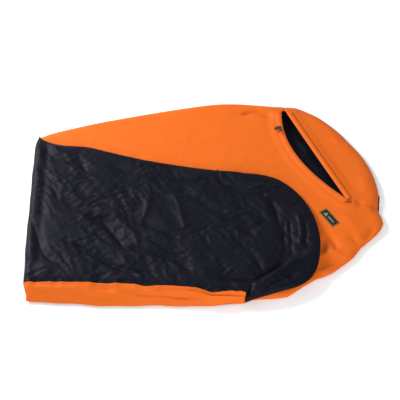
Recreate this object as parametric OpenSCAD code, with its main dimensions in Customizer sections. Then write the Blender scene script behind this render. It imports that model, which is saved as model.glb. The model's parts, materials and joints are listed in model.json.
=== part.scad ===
// A bivy sack laid flat and folded in half across the waist.
// The head half lies floor down. The foot half lies on top of it, floor up.
// +X runs from the fold to the hood, +Y to the side with the face opening, +Z up.
// Flat shapes are drawn along the sack's own centre line, as [reach from the fold, offset],
// and then turned by the skew of the fold.

/* [Sack outline] */
// Reach of the head half along the centre line, from the fold to the hood tip
head_len = 1160; // [960:10:1400]
// Reach of the foot half along the centre line, from the fold to the foot
foot_len = 960; // [840:10:1150]
// Full width at the shoulders
shoulder_w = 870; // [720:5:1050]
// Full width at the fold
fold_w = 690; // [560:5:840]
// Full width where the round foot begins
foot_w = 520; // [430:5:640]
// Offset of the foot's middle from the centre line, away from the face opening
foot_offset = 20; // [0:1:30]
// Reach from the fold to the widest point, where the round hood begins
shoulder_reach = 660; // [540:10:800]
// Reach from the fold to where the round foot begins
foot_reach = 740; // [600:10:820]
// Sideways shift of the foot tip
foot_tip_shift = 50; // [0:1:60]
// Angle between the centre line and the square to the fold, in degrees
fold_skew = 6.2; // [0:0.1:10]
// Height of each half as it lies
lying_h = 28; // [20:0.5:40]
// Air gap between the two halves
halves_gap = 0.6; // [0.4:0.1:2]

/* [Fabric] */
// Thickness of the black floor fabric
floor_t = 1.2; // [0.8:0.1:2]
// Thickness of the orange upper fabric
upper_t = 1.2; // [0.8:0.1:2]
// Width of the orange that turns over to the floor seam at the fold, on the near side
side_turn = 45; // [30:1:60]
// Width of the same turn where the round foot begins
foot_side_turn = 20; // [15:1:40]
// Width of the orange that turns over to the floor seam on the far side
far_turn = 6; // [5:1:30]
// Depth of the hood's edge that turns under to the floor seam
hood_turn = 10; // [8:1:30]
// Clearance between neighbouring panels
ply_gap = 0.2; // [0.1:0.05:0.4]
// Width of the inner seam tape
tape_w = 22; // [14:1:30]
// Thickness of the inner seam tape
tape_t = 0.3; // [0.2:0.05:0.5]

/* [Foot cap] */
// Depth of the black foot cap at its tip
cap_depth = 110; // [80:1:140]
// Half width of the round seam between the floor and the foot cap, near side
cap_seam_near = 200; // [160:5:230]
// Half width of the same seam, far side
cap_seam_far = 165; // [130:5:190]

/* [Face opening] */
// Place of the opening's outer corner round the hood, in degrees from the tip
corner_angle = 61; // [50:1:72]
// Distance of the outer corner from the edge of the sack
corner_inset = 18; // [12:1:30]
// Width of the opening at its outer corner
corner_mouth = 10; // [6:1:16]
// Distance of the opening's inner end from the hood tip, along the centre line
inner_end_back = 109; // [90:1:140]
// Offset of the opening's inner end from the centre line
inner_end_off = 57; // [30:1:80]
// Bow of the chest edge away from a straight line
chest_bow = 58; // [40:1:75]
// Bow of the hood edge away from a straight line
hood_bow = 11; // [5:1:20]
// Place where the hood seam meets the edge, in degrees from the tip
seam_angle = 15; // [10:1:22]
// Width of the hood seam
hood_seam_w = 10; // [6:1:14]
// Thickness of the hood seam's folded fabric
hood_seam_t = 0.8; // [0.5:0.1:1.5]

/* [Face hem and drawcord] */
// Width of the drawcord hem round the opening
hem_w = 20; // [16:1:26]
// Wall of the hem
hem_wall = 0.8; // [0.6:0.1:1.2]
// Width of the hem's channel
channel_w = 12; // [8:1:14]
// Diameter of the drawcord
cord_d = 2.5; // [2:0.1:3]
// Room over the cord in the channel
channel_room = 0.9; // [0.7:0.1:1.3]
// Offset from the centre line of the eyelet where the cord comes out
eyelet_off = 290; // [260:1:310]
// Outer diameter of the eyelet's flange
eyelet_d = 8; // [7:0.5:10]
// Thickness of the eyelet's flange
eyelet_flange_t = 0.6; // [0.4:0.1:0.8]
// Wall of the eyelet's neck
eyelet_wall = 0.7; // [0.5:0.1:1]
// Length of the bar tacks at the opening's ends
tack_l = 12; // [8:1:16]
// Width of the bar tacks
tack_w = 2; // [1.5:0.5:3]
// Thickness of the bar tacks
tack_t = 0.6; // [0.4:0.1:1]
// Diameter of the knot at the cord's end
knot_d = 7; // [6:0.5:8]

/* [Cord lock] */
// Outer diameter of the lock's barrel
lock_d = 11; // [10:0.5:12]
// Length of the barrel
lock_l = 18; // [17:0.5:24]
// Wall at the barrel's closed end
lock_end = 1.6; // [1:0.1:2.5]
// Diameter of the plunger
plunger_d = 8; // [7.5:0.1:8.4]
// Length of the plunger that stands out of the barrel
plunger_out = 7; // [5:0.5:9]
// Travel of the plunger
plunger_travel = 3.2; // [2:0.1:4]
// Running clearance between the plunger and the barrel
plunger_gap = 0.15; // [0.1:0.05:0.25]
// Clearance round the cord in the lock
lock_cord_gap = 0.4; // [0.3:0.05:0.6]
// Wire of the spring
wire_d = 0.6; // [0.5:0.1:0.8]
// Free run of the lock along the cord
lock_run = 8; // [4:0.5:10]
// Clearance under the lock
lock_rest_gap = 0.2; // [0.1:0.05:0.4]

/* [Label] */
// Width of the woven label
label_w = 30; // [20:1:40]
// Length of the woven label
label_l = 76; // [50:1:90]
// Thickness of the woven label
label_t = 0.6; // [0.4:0.1:1]
// Distance of the label's centre from the hood tip, along the centre line
label_back = 178; // [150:1:220]
// Offset of the label's centre from the centre line
label_off = 125; // [110:1:160]
// Turn of the label from the centre line, in degrees
label_turn = 64; // [50:1:80]

/* [Hidden] */

orange = [0.97, 0.47, 0.18];
black = [0.11, 0.11, 0.15];
cord_orange = [0.88, 0.36, 0.10];
tape_grey = [0.45, 0.45, 0.47];
metal = [0.25, 0.25, 0.26];
lock_black = [0.07, 0.07, 0.08];
label_green = [0.08, 0.13, 0.09];

side_steps = 8;
hood_steps = 28;
foot_steps = 20;
edge_steps = 12;
turn_steps = 6;

// An outline is [near half width, far half width, reach of the tip, whether the near side narrows
// late], and each half width is [at the fold, where the round end begins].
head_edge = [[fold_w, shoulder_w] / 2, [fold_w, shoulder_w] / 2, head_len];
foot_edge = [
    [fold_w / 2, foot_w / 2 + foot_offset], [fold_w / 2, foot_w / 2 - foot_offset], foot_len, true
];
function inner_edge(edge, near, far, tip) = [edge[0] - near, edge[1] - far, edge[2] - tip, edge[3]];
function floor_seam(edge) = [edge[0], edge[1], edge[2], false];
near_turn = [side_turn, side_turn];
foot_near_turn = [side_turn, foot_side_turn];
far_turns = [far_turn, far_turn];
gaps = [ply_gap, ply_gap];
walls = [upper_t, upper_t];
head_wall_edge = inner_edge(head_edge, walls, walls, upper_t);
head_floor_edge = inner_edge(head_edge, near_turn, far_turns, hood_turn);
head_rim_edge = inner_edge(head_edge, near_turn - gaps, far_turns - gaps, hood_turn - ply_gap);
foot_wall_edge = inner_edge(foot_edge, walls, walls, upper_t);
foot_floor_edge = floor_seam(inner_edge(foot_edge, foot_near_turn, far_turns, cap_depth));
foot_rim_edge = floor_seam(inner_edge(foot_edge, foot_near_turn - gaps, far_turns - gaps, cap_depth));

// Half widths at a reach from the fold. The foot narrows early on the far side and at the floor seam,
// and late on the outer near side.
shoulder_power = 1.5;
early_power = 2.5;
late_power = 1.8;
function one_side(edge, side) = side > 0 ? edge[1] : edge[0];
function head_half(edge, side, reach) =
    let (half = one_side(edge, side))
    half[1] - (half[1] - half[0]) * pow(1 - reach / shoulder_reach, shoulder_power);
function foot_half(edge, side, reach) =
    let (half = one_side(edge, side), run = reach / foot_reach)
    half[1] + (half[0] - half[1])
        * (side < 0 && edge[3] ? 1 - pow(max(0, run), late_power) : pow(1 - run, early_power));

// Reach at which an edge crosses a line that lies a distance in from the fold.
function head_start(edge, side, inset, tries = 6, reach = 0) =
    tries == 0 ? reach
    : head_start(edge, side, inset, tries - 1,
        inset / cos(fold_skew) + side * head_half(edge, side, reach) * tan(fold_skew));
function foot_start(edge, side, inset, tries = 6, reach = 0) =
    tries == 0 ? reach
    : foot_start(edge, side, inset, tries - 1,
        inset / cos(fold_skew) - side * foot_half(edge, side, reach) * tan(fold_skew));

// The long sides, from the fold outwards.
function head_side(edge, side, inset = 0) =
    let (start = head_start(edge, side, inset))
    [for (i = [0 : side_steps])
        let (reach = start + (shoulder_reach - start) * i / side_steps)
        [reach, side * head_half(edge, side, reach)]];
function foot_side(edge, side, inset = 0) =
    let (start = foot_start(edge, side, inset))
    [for (i = [0 : side_steps])
        let (reach = start + (foot_reach - start) * i / side_steps)
        [reach, side * foot_half(edge, side, reach)]];

// The round ends: a half ellipse for the hood, and one with a shifted tip and a squarer near corner
// for the foot.
near_corner_power = 0.8;
function hood_point(edge, angle) =
    [shoulder_reach + (edge[2] - shoulder_reach) * cos(angle), one_side(edge, angle)[1] * sin(angle)];
// Every arc of the hood has its points at the same angles, so that nested edges never cross.
hood_step = 180 / hood_steps;
least_step = 0.3;
function hood_angles(from, to) =
    let (way = from < to ? 1 : -1)
    concat(
        [from],
        [for (k = [way * -hood_steps : way : way * hood_steps])
            if (way * (k * hood_step - from) > least_step && way * (to - k * hood_step) > least_step)
                k * hood_step],
        [to]
    );
function hood_arc(edge, from, to) = [for (angle = hood_angles(from, to)) hood_point(edge, angle)];
function foot_round(edge, angle) =
    let (half = one_side(edge, angle)[1])
    let (out = angle > 0 ? sin(angle) : -pow(abs(sin(angle)), near_corner_power))
    [foot_reach + (edge[2] - foot_reach) * cos(angle), half * out - foot_tip_shift * pow(cos(angle), 2)];
function foot_arc(edge, from, to) =
    [for (i = [0 : foot_steps]) foot_round(edge, from + (to - from) * i / foot_steps)];

function reversed(points) = [for (i = [len(points) - 1 : -1 : 0]) points[i]];
function without_first(points) = [for (i = [1 : len(points) - 1]) points[i]];
function turned_head(p) = [
    p[0] * cos(fold_skew) - p[1] * sin(fold_skew),
    p[0] * sin(fold_skew) + p[1] * cos(fold_skew)
];
function turned_foot(p) = [
    p[0] * cos(fold_skew) + p[1] * sin(fold_skew),
    p[1] * cos(fold_skew) - p[0] * sin(fold_skew)
];

// The whole edge of each half, which sets where the middle of the folded sack is.
head_outline = concat(
    head_side(head_edge, 1), without_first(hood_arc(head_edge, 90, -90)),
    without_first(reversed(head_side(head_edge, -1)))
);
foot_outline = concat(
    foot_side(foot_edge, 1), without_first(foot_arc(foot_edge, 90, -90)),
    without_first(reversed(foot_side(foot_edge, -1)))
);
turned_outlines = concat(
    [for (p = head_outline) turned_head(p)],
    [for (p = foot_outline) turned_foot(p)]
);
folded_len = max([for (p = turned_outlines) p[0]]);
fold_x = -folded_len / 2;
fold_y = -(max([for (p = turned_outlines) p[1]]) + min([for (p = turned_outlines) p[1]])) / 2;
folded_h = 2 * lying_h + halves_gap;

// The fold's hinge line lies this far outside the fold.
hinge_out = 0.3;
echo(hinge_x = fold_x - hinge_out, hinge_z = folded_h / 2, fold_x = fold_x, fold_y = fold_y);

function on_head(p) = [fold_x, fold_y] + turned_head(p);
function on_foot(p) = [fold_x, fold_y] + turned_foot(p);

// Plates of one half, from flat points. The foot half's heights are measured down from its floor.
module head_plate(points, low, high) {
    translate([0, 0, low])
        linear_extrude(high - low) polygon([for (p = points) on_head(p)]);
}
module foot_plate(points, depth, deeper) {
    translate([0, 0, folded_h - deeper])
        linear_extrude(deeper - depth) polygon([for (p = points) on_foot(p)]);
}

// The face opening: two bowed edges from the outer corner to the inner end.
function unit(v) = v / norm(v);
corner_edge = hood_point(head_edge, corner_angle);
corner = corner_edge - corner_inset * unit(corner_edge - [shoulder_reach, 0]);
corner_way = unit(corner_edge - corner);
corner_side = [-corner_way[1], corner_way[0]];
inner_end = [head_len - inner_end_back, -inner_end_off];
along = unit(inner_end - corner);
to_chest = [along[1], -along[0]];
lean = 0.45;
// An edge of the opening is [bow, start at the outer corner].
chest_edge = [chest_bow, corner + corner_mouth / 2 * corner_side];
hood_edge = [hood_bow, corner - corner_mouth / 2 * corner_side];
function edge_control(edge) =
    (edge[1] + inner_end) / 2 + 2 * edge[0] * to_chest - 2 * lean * edge[0] * along;
function bezier(a, b, c, u) = (1 - u) * (1 - u) * a + 2 * u * (1 - u) * b + u * u * c;
function edge_way(edge, u) =
    unit((1 - u) * (edge_control(edge) - edge[1]) + u * (inner_end - edge_control(edge)));
function edge_point(edge, u, out) =
    let (way = edge_way(edge, u))
    bezier(edge[1], edge_control(edge), inner_end, u) + out * [way[1], -way[0]];

// A line round the opening, a distance outside it: down the chest edge, round the inner end and up
// the hood edge.
function chest_side(out, from = 0, steps = edge_steps) =
    [for (i = [0 : steps]) edge_point(chest_edge, from + (1 - from) * i / steps, out)];
function hood_side(out) =
    [for (i = [0 : edge_steps]) edge_point(hood_edge, 1 - i / edge_steps, -out)];
function way_angle(edge, side) =
    let (way = edge_way(edge, 1))
    atan2(-side * way[0], side * way[1]);
turn_from = way_angle(chest_edge, 1);
turn_to_raw = way_angle(hood_edge, -1);
turn_to = turn_to_raw < turn_from ? turn_to_raw + 360 : turn_to_raw;
function end_turn(out) =
    [for (i = [1 : turn_steps - 1])
        let (angle = turn_from + (turn_to - turn_from) * i / turn_steps)
        inner_end + out * [cos(angle), sin(angle)]];
function round_opening(out, from = 0) = concat(chest_side(out, from), end_turn(out), hood_side(out));

// The hood seam runs from the inner end to the sack's edge, and a short one closes the outer corner.
seam_foot = hood_point(head_edge, -seam_angle);
seam_way = unit(seam_foot - inner_end);
seam_side = [-seam_way[1], seam_way[0]];
half_gap = ply_gap / 2;
gap_angle = asin(half_gap / head_half(head_edge, 1, shoulder_reach));

// One sheet of the chest panel and one of the hood, between the shared seams.
function chest_sheet(edge, inset) = concat(
    head_side(edge, 1, inset),
    without_first(hood_arc(edge, 90, corner_angle + gap_angle)),
    [corner + half_gap * corner_side],
    chest_side(0),
    [inner_end - half_gap * seam_side],
    hood_arc(edge, -seam_angle - gap_angle, -90),
    without_first(reversed(head_side(edge, -1, inset)))
);
function hood_sheet(edge) = concat(
    hood_arc(edge, corner_angle - gap_angle, -seam_angle + gap_angle),
    [inner_end + half_gap * seam_side],
    without_first(hood_side(0)),
    [corner - half_gap * corner_side]
);

// Bands between two edges, along one stretch of the outline.
function chest_band(outer, inner, side) =
    let (last = side > 0 ? corner_angle : seam_angle)
    let (outer_arc = hood_arc(outer, side * 90, side * (last + gap_angle)))
    let (inner_arc = hood_arc(inner, side * 90, side * (last + gap_angle)))
    concat(
        head_side(outer, side), without_first(outer_arc),
        reversed(without_first(inner_arc)), reversed(head_side(inner, side))
    );
function hood_band(outer, inner) = concat(
    hood_arc(outer, corner_angle - gap_angle, -seam_angle + gap_angle),
    hood_arc(inner, -seam_angle + gap_angle, corner_angle - gap_angle)
);
function foot_band(outer, inner, side) = concat(foot_side(outer, side), reversed(foot_side(inner, side)));

// Width of the fold's corner pieces, which close the orange side at the fold.
function head_corner(outer, inner, side) = [
    head_side(outer, side)[0], head_side(outer, side, upper_t)[0],
    head_side(inner, side, upper_t)[0], head_side(inner, side)[0]
];
function foot_corner(outer, inner, side) = [
    foot_side(outer, side)[0], foot_side(outer, side, upper_t)[0],
    foot_side(inner, side, upper_t)[0], foot_side(inner, side)[0]
];

// ---- Head half ----

module head_floor() {
    color(black) {
        head_plate(concat(
            head_side(head_floor_edge, 1), without_first(hood_arc(head_floor_edge, 90, -90)),
            without_first(reversed(head_side(head_floor_edge, -1)))
        ), 0, floor_t);
        head_plate([
            head_side(head_floor_edge, 1)[0], head_side(head_floor_edge, 1, floor_t)[0],
            head_side(head_floor_edge, -1, floor_t)[0], head_side(head_floor_edge, -1)[0]
        ], floor_t, lying_h - upper_t - ply_gap);
    }
}

module head_upper() {
    color(orange) {
        head_plate(chest_sheet(head_edge, 0), lying_h - upper_t, lying_h);
        for (side = [-1, 1]) {
            head_plate(chest_band(head_edge, head_wall_edge, side), 0, lying_h - upper_t);
            head_plate(chest_band(head_edge, head_rim_edge, side), 0, floor_t);
            head_plate(head_corner(head_edge, head_rim_edge, side), 0, lying_h - upper_t);
        }
    }
}

module hood() {
    color(orange) {
        head_plate(hood_sheet(head_edge), lying_h - upper_t, lying_h);
        head_plate(hood_band(head_edge, head_wall_edge), 0, lying_h - upper_t);
        head_plate(hood_band(head_edge, head_rim_edge), 0, floor_t);
    }
}

// A strip over the seam, from the hem's end to the sack's edge.
seam_start = inner_end + (hem_w + ply_gap) * seam_way;
seam_end = seam_foot - 2 * upper_t * seam_way;
module hood_seam() {
    color(orange)
        head_plate([
            seam_start - hood_seam_w / 2 * seam_side, seam_end - hood_seam_w / 2 * seam_side,
            seam_end + hood_seam_w / 2 * seam_side, seam_start + hood_seam_w / 2 * seam_side
        ], lying_h, lying_h + hood_seam_t);
}

// Inner tape over the floor seam, clear of the walls.
near_tape = [tape_w, tape_w] / 2;
wall_room = upper_t + ply_gap;
far_tape = [far_turn, far_turn] - [wall_room, wall_room];
far_tape_in = near_tape * 2 - far_tape;
head_tape_outer = inner_edge(head_floor_edge, -near_tape, -far_tape, wall_room - hood_turn);
head_tape_inner = inner_edge(head_floor_edge, near_tape, far_tape_in, tape_w / 2);
tape_start = upper_t + floor_t;
module head_seam_tape() {
    color(tape_grey)
        head_plate(concat(
            head_side(head_tape_outer, 1, tape_start), without_first(hood_arc(head_tape_outer, 90, -90)),
            without_first(reversed(head_side(head_tape_outer, -1, tape_start))),
            head_side(head_tape_inner, -1, tape_start), without_first(hood_arc(head_tape_inner, -90, 90)),
            without_first(reversed(head_side(head_tape_inner, 1, tape_start)))
        ), floor_t, floor_t + tape_t);
}

// ---- Face hem, drawcord and trim ----

channel_h = cord_d + channel_room;
hem_top = lying_h + channel_h + 2 * hem_wall;
cord_lift = 0.1;
cord_z = lying_h + hem_wall + cord_lift + cord_d / 2;
function ring_round(inner_out, outer_out) =
    concat(round_opening(outer_out), reversed(round_opening(inner_out)));

// The eyelet's place on the chest edge, found by halving between the corner and the inner end.
function edge_reaching(off, low = 0, high = 1, tries = 20) =
    let (middle = (low + high) / 2)
    tries == 0 ? middle
    : edge_point(chest_edge, middle, hem_w / 2)[1] > off
        ? edge_reaching(off, middle, high, tries - 1)
        : edge_reaching(off, low, middle, tries - 1);
eyelet_u = edge_reaching(eyelet_off);
eyelet_at = edge_point(chest_edge, eyelet_u, hem_w / 2);
tail_way = edge_way(chest_edge, eyelet_u);
eyelet_bore = cord_d / 2 + 0.4;
eyelet_neck = eyelet_bore + eyelet_wall;
neck_gap = 0.1;

module face_hem() {
    color(orange) difference() {
        head_plate(ring_round(0, hem_w), lying_h, hem_top);
        head_plate(
            ring_round((hem_w - channel_w) / 2, (hem_w + channel_w) / 2),
            lying_h + hem_wall, hem_top - hem_wall
        );
        translate([each on_head(eyelet_at), hem_top - 2 * hem_wall])
            cylinder(h = 3 * hem_wall, r = eyelet_neck + neck_gap, $fn = 32);
    }
}

// Two flanges and a neck, which clamp the hem's top wall.
module cord_eyelet() {
    color(metal)
        translate([each on_head(eyelet_at), hem_top])
            rotate_extrude($fn = 32)
                polygon([
                    [eyelet_bore, -hem_wall - eyelet_flange_t], [eyelet_d / 2, -hem_wall - eyelet_flange_t],
                    [eyelet_d / 2, -hem_wall], [eyelet_neck, -hem_wall],
                    [eyelet_neck, 0], [eyelet_d / 2, 0],
                    [eyelet_d / 2, eyelet_flange_t], [eyelet_bore, eyelet_flange_t]
                ]);
}

// A short bar of thread across each end of the hem.
module tack(at, way) {
    side = [-way[1], way[0]];
    head_plate([
        at - tack_w / 2 * way - tack_l / 2 * side, at + tack_w / 2 * way - tack_l / 2 * side,
        at + tack_w / 2 * way + tack_l / 2 * side, at - tack_w / 2 * way + tack_l / 2 * side
    ], hem_top, hem_top + tack_t);
}
tack_u = 0.03;
module bar_tacks() {
    color(orange) {
        tack(edge_point(chest_edge, tack_u, hem_w / 2), edge_way(chest_edge, tack_u));
        tack(edge_point(hood_edge, tack_u, -hem_w / 2), edge_way(hood_edge, tack_u));
        tack(inner_end + hem_w / 2 * seam_way, seam_side);
    }
}

// A round tube along a list of points in space.
function tube_way(path, i) =
    unit(path[min(i + 1, len(path) - 1)] - path[max(i - 1, 0)]);
function tube_side(way) = unit(cross(way, abs(way[2]) > 0.8 ? [along[0], along[1], 0] : [0, 0, 1]));
module tube(path, d, sides = 8) {
    rings = [for (i = [0 : len(path) - 1])
        let (way = tube_way(path, i), side = tube_side(way), other = cross(side, way))
        for (k = [0 : sides - 1])
            path[i] + d / 2 * (cos(360 * k / sides) * side + sin(360 * k / sides) * other)];
    last = (len(path) - 1) * sides;
    polyhedron(rings, concat(
        [[for (k = [0 : sides - 1]) k]],
        [for (i = [0 : len(path) - 2], k = [0 : sides - 1])
            let (next = (k + 1) % sides)
            [i * sides + k, (i + 1) * sides + k, (i + 1) * sides + next, i * sides + next]],
        [[for (k = [sides - 1 : -1 : 0]) last + k]]
    ));
}

// The drawcord inside the hem: from under the eyelet, round the inner end, to its sewn end at the corner.
cord_from = min(1, eyelet_u + 0.03);
module drawcord() {
    color(cord_orange)
        tube(concat(
            [[each on_head(eyelet_at), cord_z]],
            [for (p = round_opening(hem_w / 2, cord_from)) [each on_head(p), cord_z]]
        ), cord_d);
}

// The free tail: up out of the eyelet, over, and straight through the lock to the knot.
// Its points are [run along the hem, share of the rise from the hem's top to the lock's axis].
tail_route = [
    [0, -0.45], [0, 0], [0, 0.3], [0.5, 0.58], [1.6, 0.82], [3.2, 0.96], [5.2, 1], [8, 1],
    [13, 1], [18, 1], [23, 1], [28, 1], [33, 1]
];
lock_r = lock_d / 2;
tail_rise = lock_r + lock_rest_gap;
tail_z = hem_top + tail_rise;
module drawcord_tail() {
    color(cord_orange)
        tube([for (p = tail_route)
            [each on_head(eyelet_at + p[0] * tail_way), hem_top + p[1] * tail_rise]], cord_d);
}

// The knot swallows the tail's end, past the end of the lock's run.
lock_at = 13.5;
knot_at = lock_at + lock_r + lock_run + 1 + knot_d / 2;
module tail_knot() {
    color(cord_orange)
        translate([each on_head(eyelet_at + knot_at * tail_way), tail_z])
            sphere(d = knot_d, $fn = 24);
}

module label() {
    color(label_green)
        translate([each on_head([head_len - label_back, -label_off]), lying_h])
            rotate(fold_skew - label_turn)
                translate([-label_l / 2, -label_w / 2, 0]) cube([label_l, label_w, label_t]);
}

// ---- Cord lock, drawn with its barrel along X and the cord's hole at the origin ----

lock_bore_r = plunger_d / 2 + plunger_gap;
lock_hole_r = cord_d / 2 + lock_cord_gap;
hole_back = 9.3;
tail_angle = atan2(tail_way[1], tail_way[0]) + fold_skew;
module at_lock() {
    translate([each on_head(eyelet_at + lock_at * tail_way), tail_z])
        rotate(tail_angle + 90) children();
}
plunger_neck = 0.8;
spring_room = hole_back - lock_end - lock_hole_r - plunger_gap - plunger_neck;

module cord_hole() {
    rotate([90, 0, 0]) cylinder(h = 2 * lock_d, r = lock_hole_r, center = true, $fn = 32);
}

// A barrel closed at +X and open at -X, bored across for the cord.
module lock_barrel() {
    color(lock_black) at_lock() difference() {
        translate([hole_back - lock_l, 0, 0]) rotate([0, 90, 0]) cylinder(h = lock_l, r = lock_r, $fn = 48);
        translate([hole_back - lock_l - 1, 0, 0]) rotate([0, 90, 0])
            cylinder(h = lock_l + 1 - lock_end, r = lock_bore_r, $fn = 48);
        cord_hole();
    }
}

// The plunger's slot is longer than the cord's hole by the travel, so the plunger can move past the cord.
module lock_plunger() {
    inner_face = lock_hole_r + plunger_gap + plunger_neck;
    outer_face = hole_back - lock_l - plunger_out;
    color(lock_black) at_lock() difference() {
        translate([outer_face, 0, 0]) rotate([0, 90, 0])
            cylinder(h = inner_face - outer_face, r = plunger_d / 2, $fn = 48);
        cord_hole();
        translate([-plunger_travel, 0, 0]) cord_hole();
        translate([-plunger_travel, -lock_d, -lock_hole_r])
            cube([plunger_travel, 2 * lock_d, 2 * lock_hole_r]);
    }
}

spring_turns = 2;
spring_r = plunger_d / 2 - wire_d;
spring_seat = 0.05;
module lock_spring() {
    steps = 12;
    start = hole_back - lock_end - spring_room + wire_d / 2 + spring_seat;
    pitch = (spring_room - wire_d - 2 * spring_seat) / spring_turns;
    color(metal) at_lock()
        tube([for (i = [0 : spring_turns * steps])
            [start + pitch * i / steps, spring_r * cos(360 * i / steps), spring_r * sin(360 * i / steps)]],
            wire_d, 6);
}

// ---- Foot half ----

cap_seam = [[0, cap_seam_near], [0, cap_seam_far], foot_len - cap_depth];
module foot_floor() {
    color(black) {
        foot_plate(concat(
            foot_side(foot_floor_edge, 1), foot_arc(cap_seam, 90, -90),
            reversed(foot_side(foot_floor_edge, -1))
        ), 0, floor_t);
        foot_plate([
            foot_side(foot_floor_edge, 1)[0], foot_side(foot_floor_edge, 1, floor_t)[0],
            foot_side(foot_floor_edge, -1, floor_t)[0], foot_side(foot_floor_edge, -1)[0]
        ], floor_t, lying_h - upper_t - ply_gap);
    }
}

module foot_upper() {
    color(orange) {
        foot_plate(concat(
            foot_side(foot_edge, 1), foot_arc(cap_seam, 90, -90), reversed(foot_side(foot_edge, -1))
        ), lying_h - upper_t, lying_h);
        for (side = [-1, 1]) {
            foot_plate(foot_band(foot_edge, foot_wall_edge, side), 0, lying_h - upper_t);
            foot_plate(foot_band(foot_edge, foot_rim_edge, side), 0, floor_t);
            foot_plate(foot_corner(foot_edge, foot_rim_edge, side), 0, lying_h - upper_t);
        }
    }
}

// The cap's sheets start a gap beyond the floor and the upper, and its wall closes the foot.
cap_outer = inner_edge(foot_edge, [0, 0], [0, 0], ply_gap);
cap_wall = inner_edge(foot_edge, [floor_t, floor_t], [floor_t, floor_t], floor_t + ply_gap);
cap_sheet = concat(foot_arc(cap_outer, 90, -90), foot_arc(cap_seam, -90, 90));
module cap_plate(points, depth, deeper) {
    foot_plate([for (p = points) p + [ply_gap, 0]], depth, deeper);
}
module foot_cap() {
    color(black) {
        cap_plate(cap_sheet, 0, floor_t);
        cap_plate(cap_sheet, lying_h - floor_t, lying_h);
        cap_plate(
            concat(foot_arc(cap_outer, 90, -90), foot_arc(cap_wall, -90, 90)),
            floor_t, lying_h - floor_t
        );
    }
}

foot_tape_outer = inner_edge(foot_floor_edge, -near_tape, -far_tape, 0);
foot_tape_inner = inner_edge(foot_floor_edge, near_tape, far_tape_in, 0);
module foot_seam_tape() {
    color(tape_grey) for (side = [-1, 1])
        foot_plate(concat(
            foot_side(foot_tape_outer, side, tape_start),
            reversed(foot_side(foot_tape_inner, side, tape_start))
        ), floor_t, floor_t + tape_t);
}

// Tape over the round seam of the floor and the cap, on the inside.
module cap_seam_tape() {
    color(tape_grey)
        foot_plate(concat(
            foot_arc(inner_edge(cap_seam, -near_tape, -near_tape, -tape_w / 2), 80, -80),
            foot_arc(inner_edge(cap_seam, near_tape, near_tape, tape_w / 2), -80, 80)
        ), floor_t, floor_t + tape_t);
}

head_floor();
head_upper();
hood();
hood_seam();
head_seam_tape();
face_hem();
bar_tacks();
cord_eyelet();
drawcord();
drawcord_tail();
tail_knot();
label();
foot_floor();
foot_upper();
foot_cap();
foot_seam_tape();
cap_seam_tape();
lock_barrel();
lock_spring();
lock_plunger();
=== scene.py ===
import json
import math

import bmesh
import bpy
import numpy as np
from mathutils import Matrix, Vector, geometry


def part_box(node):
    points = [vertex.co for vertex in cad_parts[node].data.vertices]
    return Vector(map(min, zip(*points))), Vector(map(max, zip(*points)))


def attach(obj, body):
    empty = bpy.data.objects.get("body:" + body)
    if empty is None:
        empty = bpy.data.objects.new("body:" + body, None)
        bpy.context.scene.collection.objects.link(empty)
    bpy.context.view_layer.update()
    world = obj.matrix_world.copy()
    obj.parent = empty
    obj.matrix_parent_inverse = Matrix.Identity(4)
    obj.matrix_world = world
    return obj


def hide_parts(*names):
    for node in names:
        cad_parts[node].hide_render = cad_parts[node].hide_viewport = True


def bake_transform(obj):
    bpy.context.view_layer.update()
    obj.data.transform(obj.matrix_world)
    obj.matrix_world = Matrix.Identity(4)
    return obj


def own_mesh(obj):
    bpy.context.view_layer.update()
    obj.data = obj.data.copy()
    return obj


bl_info = {
    "name": "Folded Bivy Sack",
    "version": (1, 0, 0),
    "blender": (4, 5, 0),
    "location": "View3D > Sidebar > Bivy Sack",
    "description": "Cloth, seams, hem, cord and studio for a bivy sack folded in half",
    "category": "Object",
}

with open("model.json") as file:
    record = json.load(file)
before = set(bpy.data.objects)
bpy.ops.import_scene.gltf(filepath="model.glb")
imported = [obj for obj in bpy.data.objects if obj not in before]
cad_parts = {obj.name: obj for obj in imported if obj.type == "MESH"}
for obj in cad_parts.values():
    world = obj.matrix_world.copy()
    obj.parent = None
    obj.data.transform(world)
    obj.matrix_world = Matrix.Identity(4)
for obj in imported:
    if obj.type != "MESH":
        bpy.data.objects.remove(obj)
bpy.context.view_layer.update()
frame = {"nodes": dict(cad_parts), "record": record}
JOINTS = {joint["name"]: joint for joint in frame["record"]["behaviour"]["joints"]}
FOLD_X, FOLD_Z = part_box("head_upper")[0][0], JOINTS["waist_fold"]["pos_m"][2]
FOLDED_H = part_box("foot_cap")[1][2]
LYING_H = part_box("head_upper")[1][2]
HEM_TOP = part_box("face_hem")[1][2]
SKEW = math.radians(6.2)
EDGE_ROWS = (0.0006, 0.002, 0.0045, 0.008, 0.0125, 0.018)
FOLD_ROWS = (0.0003, 0.001, 0.003, 0.007, 0.013, 0.021)
HEM_ROWS = (0.003, 0.010, 0.021)


# ---- Sizes and colours ----


def metres(name, description, default):
    return bpy.props.FloatProperty(name=name, description=description, default=default, unit="LENGTH")


def linear_colour(name, description, default):
    return bpy.props.FloatVectorProperty(
        name=name, description=description, default=default, subtype="COLOR", size=3, min=0, max=1)


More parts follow.
